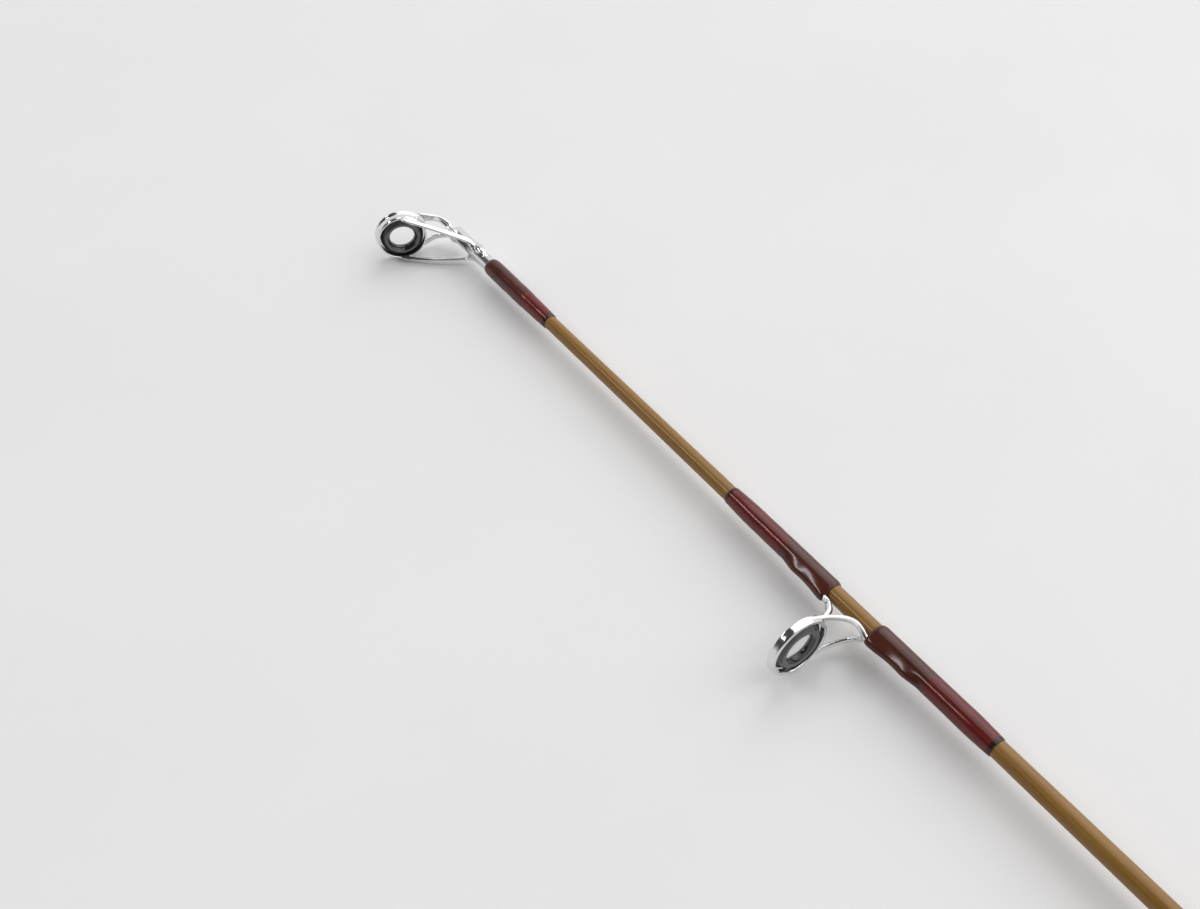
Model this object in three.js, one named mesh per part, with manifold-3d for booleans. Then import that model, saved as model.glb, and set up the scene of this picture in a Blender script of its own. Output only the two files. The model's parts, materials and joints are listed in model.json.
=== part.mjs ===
// A light two-piece spinning rod with its open-face reel, lying on its right side.
// The rod's own frame: +X runs from the butt to the tip, +Y points to the side of the guides and the reel,
// and +Z is the angler's left. Millimetres throughout.
import * as THREE from "three";
import { mergeVertices } from "three/addons/utils/BufferGeometryUtils.js";
import Module from "manifold-3d";

const wasm = await Module();
wasm.setup();

// ---- driving dimensions -------------------------------------------------------------------------

const REST_ROLL = 9.2027; // degrees: the reel's rotor holds the guide side up by this much
const REST_PITCH = 0.406; // degrees: the tip lies lower than the thick butt

const TIP_RING_X = 1520; // centre of the tip-top's ring, measured from the butt's end
const GUIDE_STEPS = [123.2, 167.5, 220, 352]; // from the tip ring to guide 1, then guide to guide
const GUIDE_SCALES = [1, 1.15, 1.45, 2]; // guide 4 is the stripper, on the butt section

const BLANK_TIP_RADIUS = 1.3; // at TIP_TUBE_MOUTH_X
const BLANK_TAPER = 0.002; // radius gained per millimetre towards the butt
const BLANK_WALL = 0.9;

const TIP_TUBE_MOUTH_X = TIP_RING_X - 17.6; // where the tip-top's tube comes out of its winding
const TIP_WINDING_LENGTH = 20.7;
const TIP_TUBE_REAR_X = TIP_TUBE_MOUTH_X - 12.4;
const TIP_TUBE_FRONT_X = TIP_RING_X - 4.7;
const TIP_TUBE_RADIUS = 1.42;
const TIP_TUBE_BORE = 1.2;

const BUTT_CAP_RADIUS = 14.5;
const REAR_GRIP_START_X = 14.3;
const SEAT_START_X = 128;
const SEAT_END_X = 251.7;
const SEAT_RADIUS = 8.5;
const FORE_GRIP_START_X = 252;
const FORE_GRIP_END_X = 318;
const FERRULE_X = 770.3; // the joint between the two sections

const GEAR_X = 160; // the drive gear's axis, from the butt's end
const SHAFT_DROP = 68; // from the rod's axis to the reel's main shaft
const GEAR_OFFSET = 7; // the drive gear's axis lies this far beyond the main shaft
const BODY_HALF_WIDTH = 15;
const BODY_RADIUS = 22;
const PIVOT_X = 72; // the bail's pivots, ahead of the drive gear's axis
const BAIL_REACH = 36;
const BAIL_REST = 60; // degrees from straight ahead, up towards the handle's side
const HANDLE_LENGTH = 45;
const HANDLE_Z = 29; // the underside of the handle arm
const HANDLE_REST = 125; // degrees from +X to the arm, about the gear's axis

const CLEAR = 0.3; // between pieces that rest on each other

// ---- materials ----------------------------------------------------------------------------------

const material = (color, roughness, metalness) =>
  new THREE.MeshStandardMaterial({ color, roughness, metalness });
const BLANK_GLASS = material(0x9a6c2a, 0.3, 0);
const WINDING = material(0x6a1512, 0.15, 0);
const CHROME = material(0xc9ccce, 0.12, 1);
const CERAMIC = material(0x45474a, 0.25, 0);
const CORK = material(0xb98a5a, 0.85, 0);
const RUBBER = material(0x1c1c1d, 0.7, 0);
const BLACK_PLASTIC = material(0x19191b, 0.35, 0);
const GREY_PAINT = material(0x4b4e52, 0.4, 0.2);
const ALUMINIUM = material(0xaeb0b3, 0.3, 1);
const STEEL = material(0x9b9da0, 0.25, 1);
const BRASS = material(0xb08a44, 0.35, 1);

// ---- helpers ------------------------------------------------------------------------------------

// Welds a geometry's corners, drops the slivers that a turned profile leaves on its axis, and makes its
// faces point out.
function outward(geometry) {
  const welded = mergeVertices(bare(geometry), 1e-4);
  const p = welded.attributes.position;
  const corners = welded.index.array;
  const faces = [];
  const [a, b, c] = [new THREE.Vector3(), new THREE.Vector3(), new THREE.Vector3()];
  let volume = 0;
  for (let i = 0; i < corners.length; i += 3) {
    const [ia, ib, ic] = corners.slice(i, i + 3);
    if (ia === ib || ib === ic || ic === ia) continue;
    faces.push([ia, ib, ic]);
    a.fromBufferAttribute(p, ia);
    b.fromBufferAttribute(p, ib);
    c.fromBufferAttribute(p, ic);
    volume += a.dot(b.cross(c));
  }
  welded.setIndex(faces.flatMap(([ia, ib, ic]) => (volume < 0 ? [ia, ic, ib] : [ia, ib, ic])));
  welded.computeVertexNormals();
  return welded;
}

function bare(geometry) {
  const copy = geometry.clone();
  copy.deleteAttribute("normal");
  copy.deleteAttribute("uv");
  return copy;
}

function solid(geometry) {
  const g = outward(geometry);
  return new wasm.Manifold(
    new wasm.Mesh({
      numProp: 3,
      vertProperties: new Float32Array(g.attributes.position.array),
      triVerts: new Uint32Array(g.index.array),
    }),
  );
}

function geometryOf(manifold) {
  const mesh = manifold.getMesh();
  const geometry = new THREE.BufferGeometry();
  geometry.setAttribute("position", new THREE.BufferAttribute(mesh.vertProperties, 3));
  geometry.setIndex(new THREE.BufferAttribute(mesh.triVerts, 1));
  geometry.computeVertexNormals();
  return geometry;
}

const join = (...geometries) =>
  geometryOf(geometries.map(solid).reduce((whole, piece) => whole.add(piece)));
const cut = (geometry, ...tools) =>
  geometryOf(tools.map(solid).reduce((whole, tool) => whole.subtract(tool), solid(geometry)));
const common = (a, b) => geometryOf(solid(a).intersect(solid(b)));

// A profile of [distance along the axis, radius] turned round the X, Y or Z axis.
const revolved = (profile, segments) =>
  new THREE.LatheGeometry(
    profile.map(([along, radius]) => new THREE.Vector2(radius, along)),
    segments,
  );
const turnedX = (profile, segments) =>
  outward(revolved(profile, segments).rotateZ(-Math.PI / 2));
const turnedY = (profile, segments) => outward(revolved(profile, segments));
const turnedZ = (profile, segments) =>
  outward(revolved(profile, segments).rotateX(Math.PI / 2));

// A ring's or tube's closed profile between two radii.
const sleeve = (start, end, inner, outer) => [
  [start, inner],
  [end, inner],
  [end, outer],
  [start, outer],
  [start, inner],
];
const pin = (start, end, radius) => [
  [start, 0],
  [start, radius],
  [end, radius],
  [end, 0],
];

// A round wire through the given points.
function wire(points, radius, sides, steps) {
  const path = new THREE.CatmullRomCurve3(points.map((p) => new THREE.Vector3(...p)));
  const section = new THREE.Shape(
    Array.from({ length: sides }, (_, i) => {
      const turn = ((i + 0.5) / sides) * 2 * Math.PI;
      return new THREE.Vector2(radius * Math.cos(turn), radius * Math.sin(turn));
    }),
  );
  return outward(new THREE.ExtrudeGeometry(section, { steps, extrudePath: path }));
}

// A flat outline in X and Y, from z0 to z1, with an optional rounded edge inside that thickness.
function plate(points, z0, z1, bevel = 0) {
  const outline = new THREE.Shape(points.map(([x, y]) => new THREE.Vector2(x, y)));
  return slab(outline, z0, z1, bevel);
}

function slab(outline, z0, z1, bevel = 0) {
  return outward(
    new THREE.ExtrudeGeometry(outline, {
      depth: z1 - z0 - 2 * bevel,
      bevelEnabled: bevel > 0,
      bevelThickness: bevel,
      bevelSize: bevel,
      bevelOffset: -bevel,
      bevelSegments: 1,
      curveSegments: 10,
    }).translate(0, 0, z0 + bevel),
  );
}

const box = (x0, x1, y0, y1, z0, z1) =>
  new THREE.BoxGeometry(x1 - x0, y1 - y0, z1 - z0).translate(
    (x0 + x1) / 2,
    (y0 + y1) / 2,
    (z0 + z1) / 2,
  );

const part = (name, geometry, look) => {
  const mesh = new THREE.Mesh(geometry, look);
  mesh.name = name;
  return mesh;
};

const placed = (object, x, y = 0, z = 0) => {
  object.position.set(x, y, z);
  return object;
};

const grouped = (...objects) => new THREE.Group().add(...objects);

const degrees = THREE.MathUtils.degToRad;
const blankRadius = (x) => BLANK_TIP_RADIUS + BLANK_TAPER * (TIP_TUBE_MOUTH_X - x);

// ---- windings -----------------------------------------------------------------------------------

const WINDING_THICKNESS = 0.32;
const WINDING_BORE_CLEAR = 0.12; // between the blank's skin and the winding
const FOOT_HUMP = 1.35; // how far a winding rises over guide 1's foot
const HUMP_FLAT_TURN = 35; // degrees each side of the guide plane
const HUMP_END_TURN = 85;

// A thread winding over the blank from start to end along the rod. Over a guide's foot it rises on the guide
// side by foot.hump at foot.heel, down to nothing at foot.toe.
function winding(name, start, end, foot) {
  const stations = 3;
  const along = (i) => start + ((end - start) * i) / stations;
  const inner = (x) => blankRadius(x) + WINDING_BORE_CLEAR;
  const profile = [];
  for (let i = 0; i <= stations; i++) profile.push([along(i), inner(along(i))]);
  for (let i = stations; i >= 0; i--)
    profile.push([along(i), inner(along(i)) + WINDING_THICKNESS]);
  profile.push(profile[0]);
  const geometry = turnedX(profile, 12);
  if (foot) raiseOverFoot(geometry, foot);
  return part(name, geometry, WINDING);
}

function raiseOverFoot(geometry, { heel, toe, hump }) {
  const p = geometry.attributes.position;
  for (let i = 0; i < p.count; i++) {
    const [y, z] = [p.getY(i), p.getZ(i)];
    const turn = THREE.MathUtils.radToDeg(Math.abs(Math.atan2(z, y)));
    const overFoot = THREE.MathUtils.clamp((toe - p.getX(i)) / (toe - heel), 0, 1);
    const across = 1 - THREE.MathUtils.smoothstep(turn, HUMP_FLAT_TURN, HUMP_END_TURN);
    const growth = 1 + (hump * Math.sqrt(overFoot) * across) / Math.hypot(y, z);
    p.setY(i, y * growth);
    p.setZ(i, z * growth);
  }
  geometry.computeVertexNormals();
}

// ---- guides -------------------------------------------------------------------------------------

const RING_FRAME_RADIUS = 5.65; // guide 1; the others are scaled from it
const RING_SEAT_RADIUS = 4.95;
const RING_CERAMIC_RADIUS = 4.82;
const RING_HOLE_RADIUS = 2.95;
const RING_HALF_DEPTH = 0.78;
const RING_AHEAD = 0.2; // the ring leans this far towards the tip from between its feet
const RING_STAND_OFF = 10.6; // from the blank's skin to the ring's centre
const FOOT_LENGTH = 11.5;
const FOOT_HALF_WIDTH = 0.8;
const FOOT_THICKNESS = 0.7;
const FOOT_BEDDING = 0.1; // between the blank and a foot
const LEG_RADIUS = 0.45;
const LIP = 0.93; // a ring's lip comes in to this share of its seat's radius
const GUIDE_WINDING_LENGTH = 26;
const TOE_COVER = 5; // the winding comes down to the blank this far beyond a foot's toe

// A ring that holds a ceramic insert, with a lip inside and a flange outside its far edge.
const ringFrame = (outer, flange, seat, halfDepth) =>
  turnedX(
    [
      [-halfDepth, seat],
      [halfDepth * 0.55, seat],
      [halfDepth * 0.55, seat * LIP],
      [halfDepth, seat * LIP],
      [halfDepth, flange],
      [halfDepth * 0.6, flange],
      [halfDepth * 0.4, outer],
      [-halfDepth * 0.5, outer],
      [-halfDepth, outer * 0.98],
      [-halfDepth, seat],
    ],
    16,
  );

const ringCeramic = (outer, hole, halfDepth) =>
  turnedX(
    [
      [-halfDepth * 1.15, outer * 0.9],
      [-halfDepth * 0.8, outer],
      [halfDepth * 0.4, outer],
      [halfDepth * 0.4, outer * 0.9],
      [halfDepth * 0.95, outer * 0.86],
      [halfDepth * 0.7, hole * 1.12],
      [0, hole],
      [-halfDepth * 1.15, hole * 1.3],
      [-halfDepth * 1.15, outer * 0.9],
    ],
    16,
  );

// One double-foot guide at x along the rod: a ring on a single strut in front and two spread legs behind.
function guide(number, x, scale) {
  const skin = blankRadius(x);
  const height = skin + RING_STAND_OFF * scale;
  const foot = FOOT_LENGTH * Math.sqrt(scale);
  const base = skin + FOOT_BEDDING + 0.22 * scale;
  const top = base + FOOT_THICKNESS * scale;
  const halfWidth = FOOT_HALF_WIDTH * Math.sqrt(scale);
  const nearEdge = height - RING_SEAT_RADIUS * scale;
  const ring = ringFrame(
    RING_FRAME_RADIUS * scale,
    RING_FRAME_RADIUS * scale,
    RING_SEAT_RADIUS * scale,
    RING_HALF_DEPTH * scale,
  );
  const frontFoot = plate(
    [
      [4.4 * scale + foot, base],
      [4.4 * scale + foot, base + 0.2],
      [4.9 * scale, top],
      [3.4 * scale, top],
      [3.4 * scale, base],
    ],
    -halfWidth * 0.75,
    halfWidth * 0.75,
  );
  const strut = plate(
    [
      [4.9 * scale, base + 0.1],
      [4.9 * scale, top],
      [3.5 * scale, top + 0.9 * scale],
      [1.0 * scale, nearEdge],
      [-0.4 * scale, nearEdge],
      [2.2 * scale, top + 0.5 * scale],
      [3.4 * scale, base + 0.1],
    ],
    -halfWidth * 1.25,
    halfWidth * 1.25,
  );
  const rear = plate(
    [
      [-4.0 * scale, base],
      [-4.0 * scale, top],
      [-5.0 * scale, top],
      [-4.4 * scale - foot, base + 0.2],
      [-4.4 * scale - foot, base],
    ],
    -halfWidth,
    halfWidth,
  );
  const leg = (side) =>
    wire(
      [
        [-4.5, 0.75, 0.3],
        [-3.4, 0.85, 1.2],
        [-2.2, 1.4, 2.1],
        [-1.2, 2.8, 2.9],
        [-0.4, 4.7, 3.55],
        [0.1, 6.7, 4.15],
        [0.2, 8.3, 4.65],
      ].map(([px, py, pz]) => [px * scale, skin + py * scale, side * pz * scale]),
      LEG_RADIUS * Math.sqrt(scale),
      5,
      7,
    );
  const ringX = RING_AHEAD * scale;
  const seated = ring.translate(ringX, height, 0);
  const frame = join(seated, frontFoot, strut, rear, leg(1), leg(-1));
  const ceramic = ringCeramic(
    RING_CERAMIC_RADIUS * scale,
    RING_HOLE_RADIUS * scale,
    RING_HALF_DEPTH * scale,
  );
  const windingLength = GUIDE_WINDING_LENGTH * Math.sqrt(scale);
  const hump = FOOT_HUMP * scale;
  const toe = 4.4 * scale + foot + TOE_COVER;
  const frontHeel = x + 5.1 * scale;
  const rearHeel = x - 4.4 * scale - 0.2;
  const name = `guide_${number}`;
  return [
    placed(part(`${name}_frame`, frame, CHROME), x),
    placed(part(`${name}_ring`, ceramic, CERAMIC), x + ringX, height),
    winding(`${name}_front_winding`, frontHeel, frontHeel + windingLength, {
      heel: frontHeel,
      toe: x + toe,
      hump,
    }),
    winding(`${name}_rear_winding`, rearHeel - windingLength, rearHeel, {
      heel: rearHeel,
      toe: x - toe,
      hump,
    }),
  ];
}

// ---- tip-top ------------------------------------------------------------------------------------

const TIP_FRAME_RADIUS = 5.05;
const TIP_FLANGE_RADIUS = 5.35;
const TIP_SEAT_RADIUS = 4.52;
const TIP_CERAMIC_RADIUS = 4.4;
const TIP_HOLE_RADIUS = 2.45;
const TIP_RING_HEIGHT = 9.75; // from the rod's axis
const TIP_RING_LEAN = 22; // degrees: the ring's far side leans ahead
const TIP_RING_HALF_DEPTH = 1.15;
const PRONG_RADIUS = 0.48;
const BRACE_RADIUS = 0.42;

// Origin on the rod's axis beside the ring's centre.
function tipTop() {
  const lean = -degrees(TIP_RING_LEAN);
  const leant = (geometry) => geometry.rotateZ(lean).translate(0, TIP_RING_HEIGHT, 0);
  const ring = ringFrame(
    TIP_FRAME_RADIUS,
    TIP_FLANGE_RADIUS,
    TIP_SEAT_RADIUS,
    TIP_RING_HALF_DEPTH,
  );
  const web = plate(
    [
      [-3.1, -4.6],
      [-2.9, -5.4],
      [-1.4, -5.85],
      [1.4, -5.85],
      [2.9, -5.4],
      [3.1, -4.6],
    ],
    TIP_RING_HALF_DEPTH * 0.6,
    TIP_RING_HALF_DEPTH,
  ).rotateY(Math.PI / 2);
  const tube = turnedX(
    sleeve(TIP_TUBE_REAR_X, TIP_TUBE_FRONT_X, TIP_TUBE_BORE, TIP_TUBE_RADIUS),
    12,
  ).translate(-TIP_RING_X, 0, 0);
  const prong = (side) =>
    wire(
      [
        [-6.2, 1.0, side * 0.9],
        [-4.8, 0.95, side * 1.0],
        [-3.3, 1.05, side * 1.35],
        [-1.9, 1.75, side * 1.95],
        [-0.9, 2.9, side * 2.35],
        [-0.7, 4.2, side * 2.65],
        [-0.6, 5.4, side * 3.1],
      ],
      PRONG_RADIUS,
      5,
      8,
    );
  const brace = (side) =>
    wire(
      [
        [-12.9, 0.4, side * 1.2],
        [-11.3, 0.7, side * 1.8],
        [-10.7, 0.9, side * 2.1],
        [-6.0, 5.4, side * 3.6],
        [-1.0, 10.1, side * 4.95],
      ],
      BRACE_RADIUS,
      5,
      6,
    );
  const frame = join(
    tube,
    leant(ring),
    leant(web),
    prong(1),
    prong(-1),
    brace(1),
    brace(-1),
  );
  const ceramic = ringCeramic(TIP_CERAMIC_RADIUS, TIP_HOLE_RADIUS, TIP_RING_HALF_DEPTH);
  const clearBore = turnedX(pin(TIP_TUBE_REAR_X - 1, TIP_TUBE_FRONT_X - 0.6, TIP_TUBE_BORE), 12);
  return [
    placed(
      part("tip_top_frame", cut(frame, clearBore.translate(-TIP_RING_X, 0, 0)), CHROME),
      TIP_RING_X,
    ),
    placed(part("tip_top_ring", ceramic.rotateZ(lean), CERAMIC), TIP_RING_X, TIP_RING_HEIGHT),
    tipWinding(),
  ];
}

function tipWinding() {
  const end = TIP_TUBE_MOUTH_X - TIP_WINDING_LENGTH;
  const tubeClear = TIP_TUBE_RADIUS + 0.08;
  const profile = [
    [end, blankRadius(end) + 0.08],
    [TIP_TUBE_REAR_X - 1.5, blankRadius(TIP_TUBE_REAR_X - 1.5) + 0.08],
    [TIP_TUBE_REAR_X - 0.3, tubeClear],
    [TIP_TUBE_MOUTH_X, tubeClear],
    [TIP_TUBE_MOUTH_X, tubeClear + 0.1],
    [TIP_TUBE_MOUTH_X - 0.7, tubeClear + 0.26],
    [TIP_TUBE_REAR_X, tubeClear + 0.26],
    [TIP_TUBE_REAR_X - 3, blankRadius(TIP_TUBE_REAR_X) + 0.3],
    [end + 0.8, blankRadius(end) + 0.3],
    [end, blankRadius(end) + 0.12],
    [end, blankRadius(end) + 0.08],
  ];
  return part("tip_top_winding", turnedX(profile, 16), WINDING);
}

// ---- blanks and ferrules ------------------------------------------------------------------------

const FERRULE_PLUG_RADIUS = 3.26;
const FERRULE_BORE = 3.36;
const FERRULE_REAR_X = FERRULE_X - 48;
const FERRULE_WALL = 0.59;
const FERRULE_PLUG_LENGTH = 24;
const FERRULE_STOP_X = FERRULE_X - 28; // the butt blank ends here, inside the female ferrule
const BLANK_SOLID_X = 990; // the tip section is solid glass ahead of here
const BLANK_START_X = 4.4; // inside the butt cap
const GLUE = 0.1; // between a blank and what is glued over it

function tipSection() {
  const foot = FERRULE_X - FERRULE_PLUG_LENGTH;
  const fitted = TIP_TUBE_REAR_X - 0.6; // ahead of here the blank is ground down to enter the tip-top
  const tipEnd = TIP_TUBE_FRONT_X - 0.9;
  const blank = turnedX(
    [
      [BLANK_SOLID_X + 10, 0],
      [BLANK_SOLID_X, blankRadius(BLANK_SOLID_X) - BLANK_WALL],
      [foot, blankRadius(foot) - BLANK_WALL],
      [foot, blankRadius(foot)],
      [fitted, blankRadius(fitted)],
      [fitted + 0.4, TIP_TUBE_BORE - GLUE],
      [tipEnd, TIP_TUBE_BORE - 1.6 * GLUE],
      [tipEnd, 0],
    ],
    14,
  );
  const bore = blankRadius(foot) + GLUE;
  const maleFerrule = turnedX(
    [
      [foot - 1, bore],
      [FERRULE_X + 21, bore],
      [FERRULE_X + 21, bore + 0.15],
      [FERRULE_X + 16, bore + 0.5],
      [FERRULE_X + 4, bore + 0.5],
      [FERRULE_X + 3.4, bore + 1.1],
      [FERRULE_X + 0.6, bore + 1.1],
      [FERRULE_X + 0.3, FERRULE_PLUG_RADIUS],
      [foot - 1, FERRULE_PLUG_RADIUS],
      [foot - 1, bore],
    ],
    16,
  );
  const pieces = [
    part("tip_blank", blank, BLANK_GLASS),
    part("male_ferrule", maleFerrule, ALUMINIUM),
    winding("ferrule_tip_winding", FERRULE_X + 21.3, FERRULE_X + 38),
  ];
  return grouped(...pieces, ...tipTop());
}

function buttBlank() {
  const [start, end] = [BLANK_START_X, FERRULE_STOP_X];
  const profile = [
    [start, blankRadius(start) - BLANK_WALL],
    [end, blankRadius(end) - BLANK_WALL],
    [end, blankRadius(end)],
    [start, blankRadius(start)],
    [start, blankRadius(start) - BLANK_WALL],
  ];
  return part("butt_blank", turnedX(profile, 20), BLANK_GLASS);
}

function femaleFerrule() {
  const blankBore = blankRadius(FERRULE_REAR_X) + GLUE;
  const outer = FERRULE_BORE + FERRULE_WALL;
  const welt = outer + 0.4;
  const profile = [
    [FERRULE_REAR_X, blankBore],
    [FERRULE_STOP_X + 0.6, blankBore],
    [FERRULE_STOP_X + 1, FERRULE_BORE],
    [FERRULE_X, FERRULE_BORE],
    [FERRULE_X, welt],
    [FERRULE_X - 3.5, welt],
    [FERRULE_X - 4, outer],
    [FERRULE_REAR_X + 6, outer],
    [FERRULE_REAR_X, blankBore + 0.15],
    [FERRULE_REAR_X, blankBore],
  ];
  return part("female_ferrule", turnedX(profile, 16), ALUMINIUM);
}

// ---- handle -------------------------------------------------------------------------------------

const FIXED_HOOD_MOUTH_X = 149.5;
const SLIDING_HOOD_MOUTH_X = 200.5;
const HOOD_LENGTH = 20;
const HOOD_MOUTH_RADIUS = 12.3;
const LOCK_NUT_X = SLIDING_HOOD_MOUTH_X + HOOD_LENGTH + 0.5;
const LOCK_NUT_LENGTH = 9;
const LOCK_NUT_RADIUS = 12.1;
const SEAT_CLEAR = SEAT_RADIUS + CLEAR; // the bore of what slides or turns on the seat
const REAR_GRIP_RADII = [13.6, 12.9, 12.0, 11.4, 11.2, 11.5, 11.8, 11.6, 10.8, 9.8];
const FORE_GRIP_RADII = [10.6, 11.6, 12, 11.8, 11.2, 10.4, 9.4, 8.2, 7.2];

function gripProfile(start, end, bore, radii) {
  const step = (end - start) / (radii.length - 1);
  const skin = radii.map((radius, i) => [start + i * step, radius]);
  return [[start, bore], [end, bore], ...skin.reverse(), [start, bore]];
}

function handle() {
  const buttCap = turnedX(
    [
      [0, 0],
      [0, BUTT_CAP_RADIUS - 3.2],
      [0.8, BUTT_CAP_RADIUS - 1.4],
      [2.6, BUTT_CAP_RADIUS - 0.3],
      [8, BUTT_CAP_RADIUS],
      [14, BUTT_CAP_RADIUS],
      [14, 4.7],
      [4.1, 4.7],
      [4.1, 0],
    ],
    28,
  );
  const rearGrip = turnedX(
    gripProfile(REAR_GRIP_START_X, SEAT_START_X - CLEAR, 4.5, REAR_GRIP_RADII),
    20,
  );
  const seat = turnedX(sleeve(SEAT_START_X, SEAT_END_X, 4.6, SEAT_RADIUS), 24);
  const hood = (mouth, toMouth) => {
    const along = (distance) => mouth - toMouth * distance;
    return turnedX(
      [
        [along(0), HOOD_MOUTH_RADIUS - 0.8],
        [along(12), SEAT_CLEAR],
        [along(HOOD_LENGTH), SEAT_CLEAR],
        [along(HOOD_LENGTH), SEAT_CLEAR + 1.1],
        [along(13), SEAT_CLEAR + 1.4],
        [along(0), HOOD_MOUTH_RADIUS],
        [along(0), HOOD_MOUTH_RADIUS - 0.8],
      ],
      24,
    );
  };
  const lockNut = turnedX(
    [
      [LOCK_NUT_X, SEAT_CLEAR],
      [LOCK_NUT_X + LOCK_NUT_LENGTH, SEAT_CLEAR],
      [LOCK_NUT_X + LOCK_NUT_LENGTH, LOCK_NUT_RADIUS - 0.8],
      [LOCK_NUT_X + LOCK_NUT_LENGTH - 1, LOCK_NUT_RADIUS],
      [LOCK_NUT_X + 1, LOCK_NUT_RADIUS],
      [LOCK_NUT_X, LOCK_NUT_RADIUS - 0.8],
      [LOCK_NUT_X, SEAT_CLEAR],
    ],
    24,
  );
  const foreGrip = turnedX(
    gripProfile(FORE_GRIP_START_X, FORE_GRIP_END_X, 4.1, FORE_GRIP_RADII),
    20,
  );
  const check = turnedX(
    [
      [FORE_GRIP_END_X + CLEAR, 4],
      [FORE_GRIP_END_X + 4.5, 4],
      [FORE_GRIP_END_X + 4.5, 4.7],
      [FORE_GRIP_END_X + 1.6, 7.2],
      [FORE_GRIP_END_X + CLEAR, 7.2],
      [FORE_GRIP_END_X + CLEAR, 4],
    ],
    24,
  );
  return [
    part("butt_cap", buttCap, RUBBER),
    part("rear_grip", rearGrip, CORK),
    part("reel_seat", seat, BLACK_PLASTIC),
    part("fixed_hood", hood(FIXED_HOOD_MOUTH_X, 1), CHROME),
    part("sliding_hood", hood(SLIDING_HOOD_MOUTH_X, -1), CHROME),
    part("lock_nut", lockNut, CHROME),
    part("fore_grip", foreGrip, CORK),
    part("winding_check", check, CHROME),
  ];
}

// ---- reel: fixed pieces -------------------------------------------------------------------------
// The reel's frame: origin where the main shaft passes the drive gear's axis, axes as the rod's.

const PINION_BORE = 2.1;
const SHAFT_RADIUS = 1.8;
const BEARING_X = 24;
const COLLAR_END_X = 33.5;
const CAVITY_RADIUS = 19.4;
const REEL_FOOT_START_X = -17;
const REEL_FOOT_END_X = 47;
const REEL_FOOT_BORE = SEAT_RADIUS + 0.35;
const REEL_FOOT_HALF_WIDTH = 7.4;
const STEM_END_Y = -57.6;
const STEM_HALF_WIDTH = 4.6;
const PINION_BEARING_RADIUS = 8;
const GEAR_BEARING_RADIUS = 6.1;
const LEVER_AXLE_RADIUS = 1.4;
const LEVER_OFFSET = 11; // the anti-reverse lever's axis lies this far beyond the main shaft

function reelBody() {
  const housing = turnedZ(
    [
      [-BODY_HALF_WIDTH, 0],
      [-BODY_HALF_WIDTH, BODY_RADIUS],
      [BODY_HALF_WIDTH - 6, BODY_RADIUS],
      [BODY_HALF_WIDTH - 2, BODY_RADIUS - 1.6],
      [BODY_HALF_WIDTH, BODY_RADIUS - 6],
      [BODY_HALF_WIDTH + 2.5, 8],
      [BODY_HALF_WIDTH + 2.5, 0],
    ],
    28,
  ).translate(0, GEAR_OFFSET, 0);
  const collar = turnedX(
    [
      [2, 0],
      [2, 14.5],
      [26, 13.4],
      [COLLAR_END_X, 12.6],
      [COLLAR_END_X, 0],
    ],
    20,
  );
  const stem = new THREE.Shape();
  stem.moveTo(-13, -8);
  stem.bezierCurveTo(-4, -24, 6, -30, 5, -42);
  stem.bezierCurveTo(4.6, -50, 0, -54, -8, STEM_END_Y);
  stem.lineTo(38, STEM_END_Y);
  stem.bezierCurveTo(27, -54, 22, -50, 21, -42);
  stem.bezierCurveTo(20, -30, 22, -22, 28, -8);
  stem.closePath();
  const stemWeb = slab(stem, -STEM_HALF_WIDTH, STEM_HALF_WIDTH);
  const footShell = turnedX(
    [
      [REEL_FOOT_START_X, REEL_FOOT_BORE],
      [REEL_FOOT_END_X, REEL_FOOT_BORE],
      [REEL_FOOT_END_X, REEL_FOOT_BORE + 0.75],
      [36, 11.4],
      [-6, 11.4],
      [REEL_FOOT_START_X, REEL_FOOT_BORE + 0.75],
      [REEL_FOOT_START_X, REEL_FOOT_BORE],
    ],
    24,
  ).translate(0, -SHAFT_DROP, 0);
  const footOutline = plate(
    [
      [REEL_FOOT_START_X, -4],
      [-6, -REEL_FOOT_HALF_WIDTH],
      [36, -REEL_FOOT_HALF_WIDTH],
      [REEL_FOOT_END_X, -4],
      [REEL_FOOT_END_X, 4],
      [36, REEL_FOOT_HALF_WIDTH],
      [-6, REEL_FOOT_HALF_WIDTH],
      [REEL_FOOT_START_X, 4],
    ],
    54,
    66,
  ).rotateX(Math.PI / 2);
  const cavity = turnedZ(
    pin(-BODY_HALF_WIDTH - 1, BODY_HALF_WIDTH - 2.6, CAVITY_RADIUS),
    28,
  ).translate(0, GEAR_OFFSET, 0);
  const shaftBore = turnedX(pin(0, COLLAR_END_X + 1, 5), 16);
  const bearingSeat = turnedX(pin(BEARING_X - CLEAR, COLLAR_END_X + 1, PINION_BEARING_RADIUS + CLEAR), 20);
  const gearBore = turnedZ(pin(0, BODY_HALF_WIDTH + 4, 3.5), 16).translate(0, GEAR_OFFSET, 0);
  const leftBearingSeat = turnedZ(
    pin(0, BODY_HALF_WIDTH + 0.2, GEAR_BEARING_RADIUS + CLEAR),
    16,
  ).translate(0, GEAR_OFFSET, 0);
  const barrel = turnedX(
    pin(REEL_FOOT_START_X - 5, REEL_FOOT_END_X + 5, REEL_FOOT_BORE),
    24,
  ).translate(0, -SHAFT_DROP, 0);
  const shell = join(housing, collar, stemWeb, common(footShell, footOutline));
  return cut(shell, cavity, shaftBore, bearingSeat, gearBore, leftBearingSeat, barrel);
}

const COVER_SCREW_TURNS = [90, 210, 330];
const COVER_SCREW_CIRCLE = 17.5;
const COVER_SCREW_RADIUS = 1.15;

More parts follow.
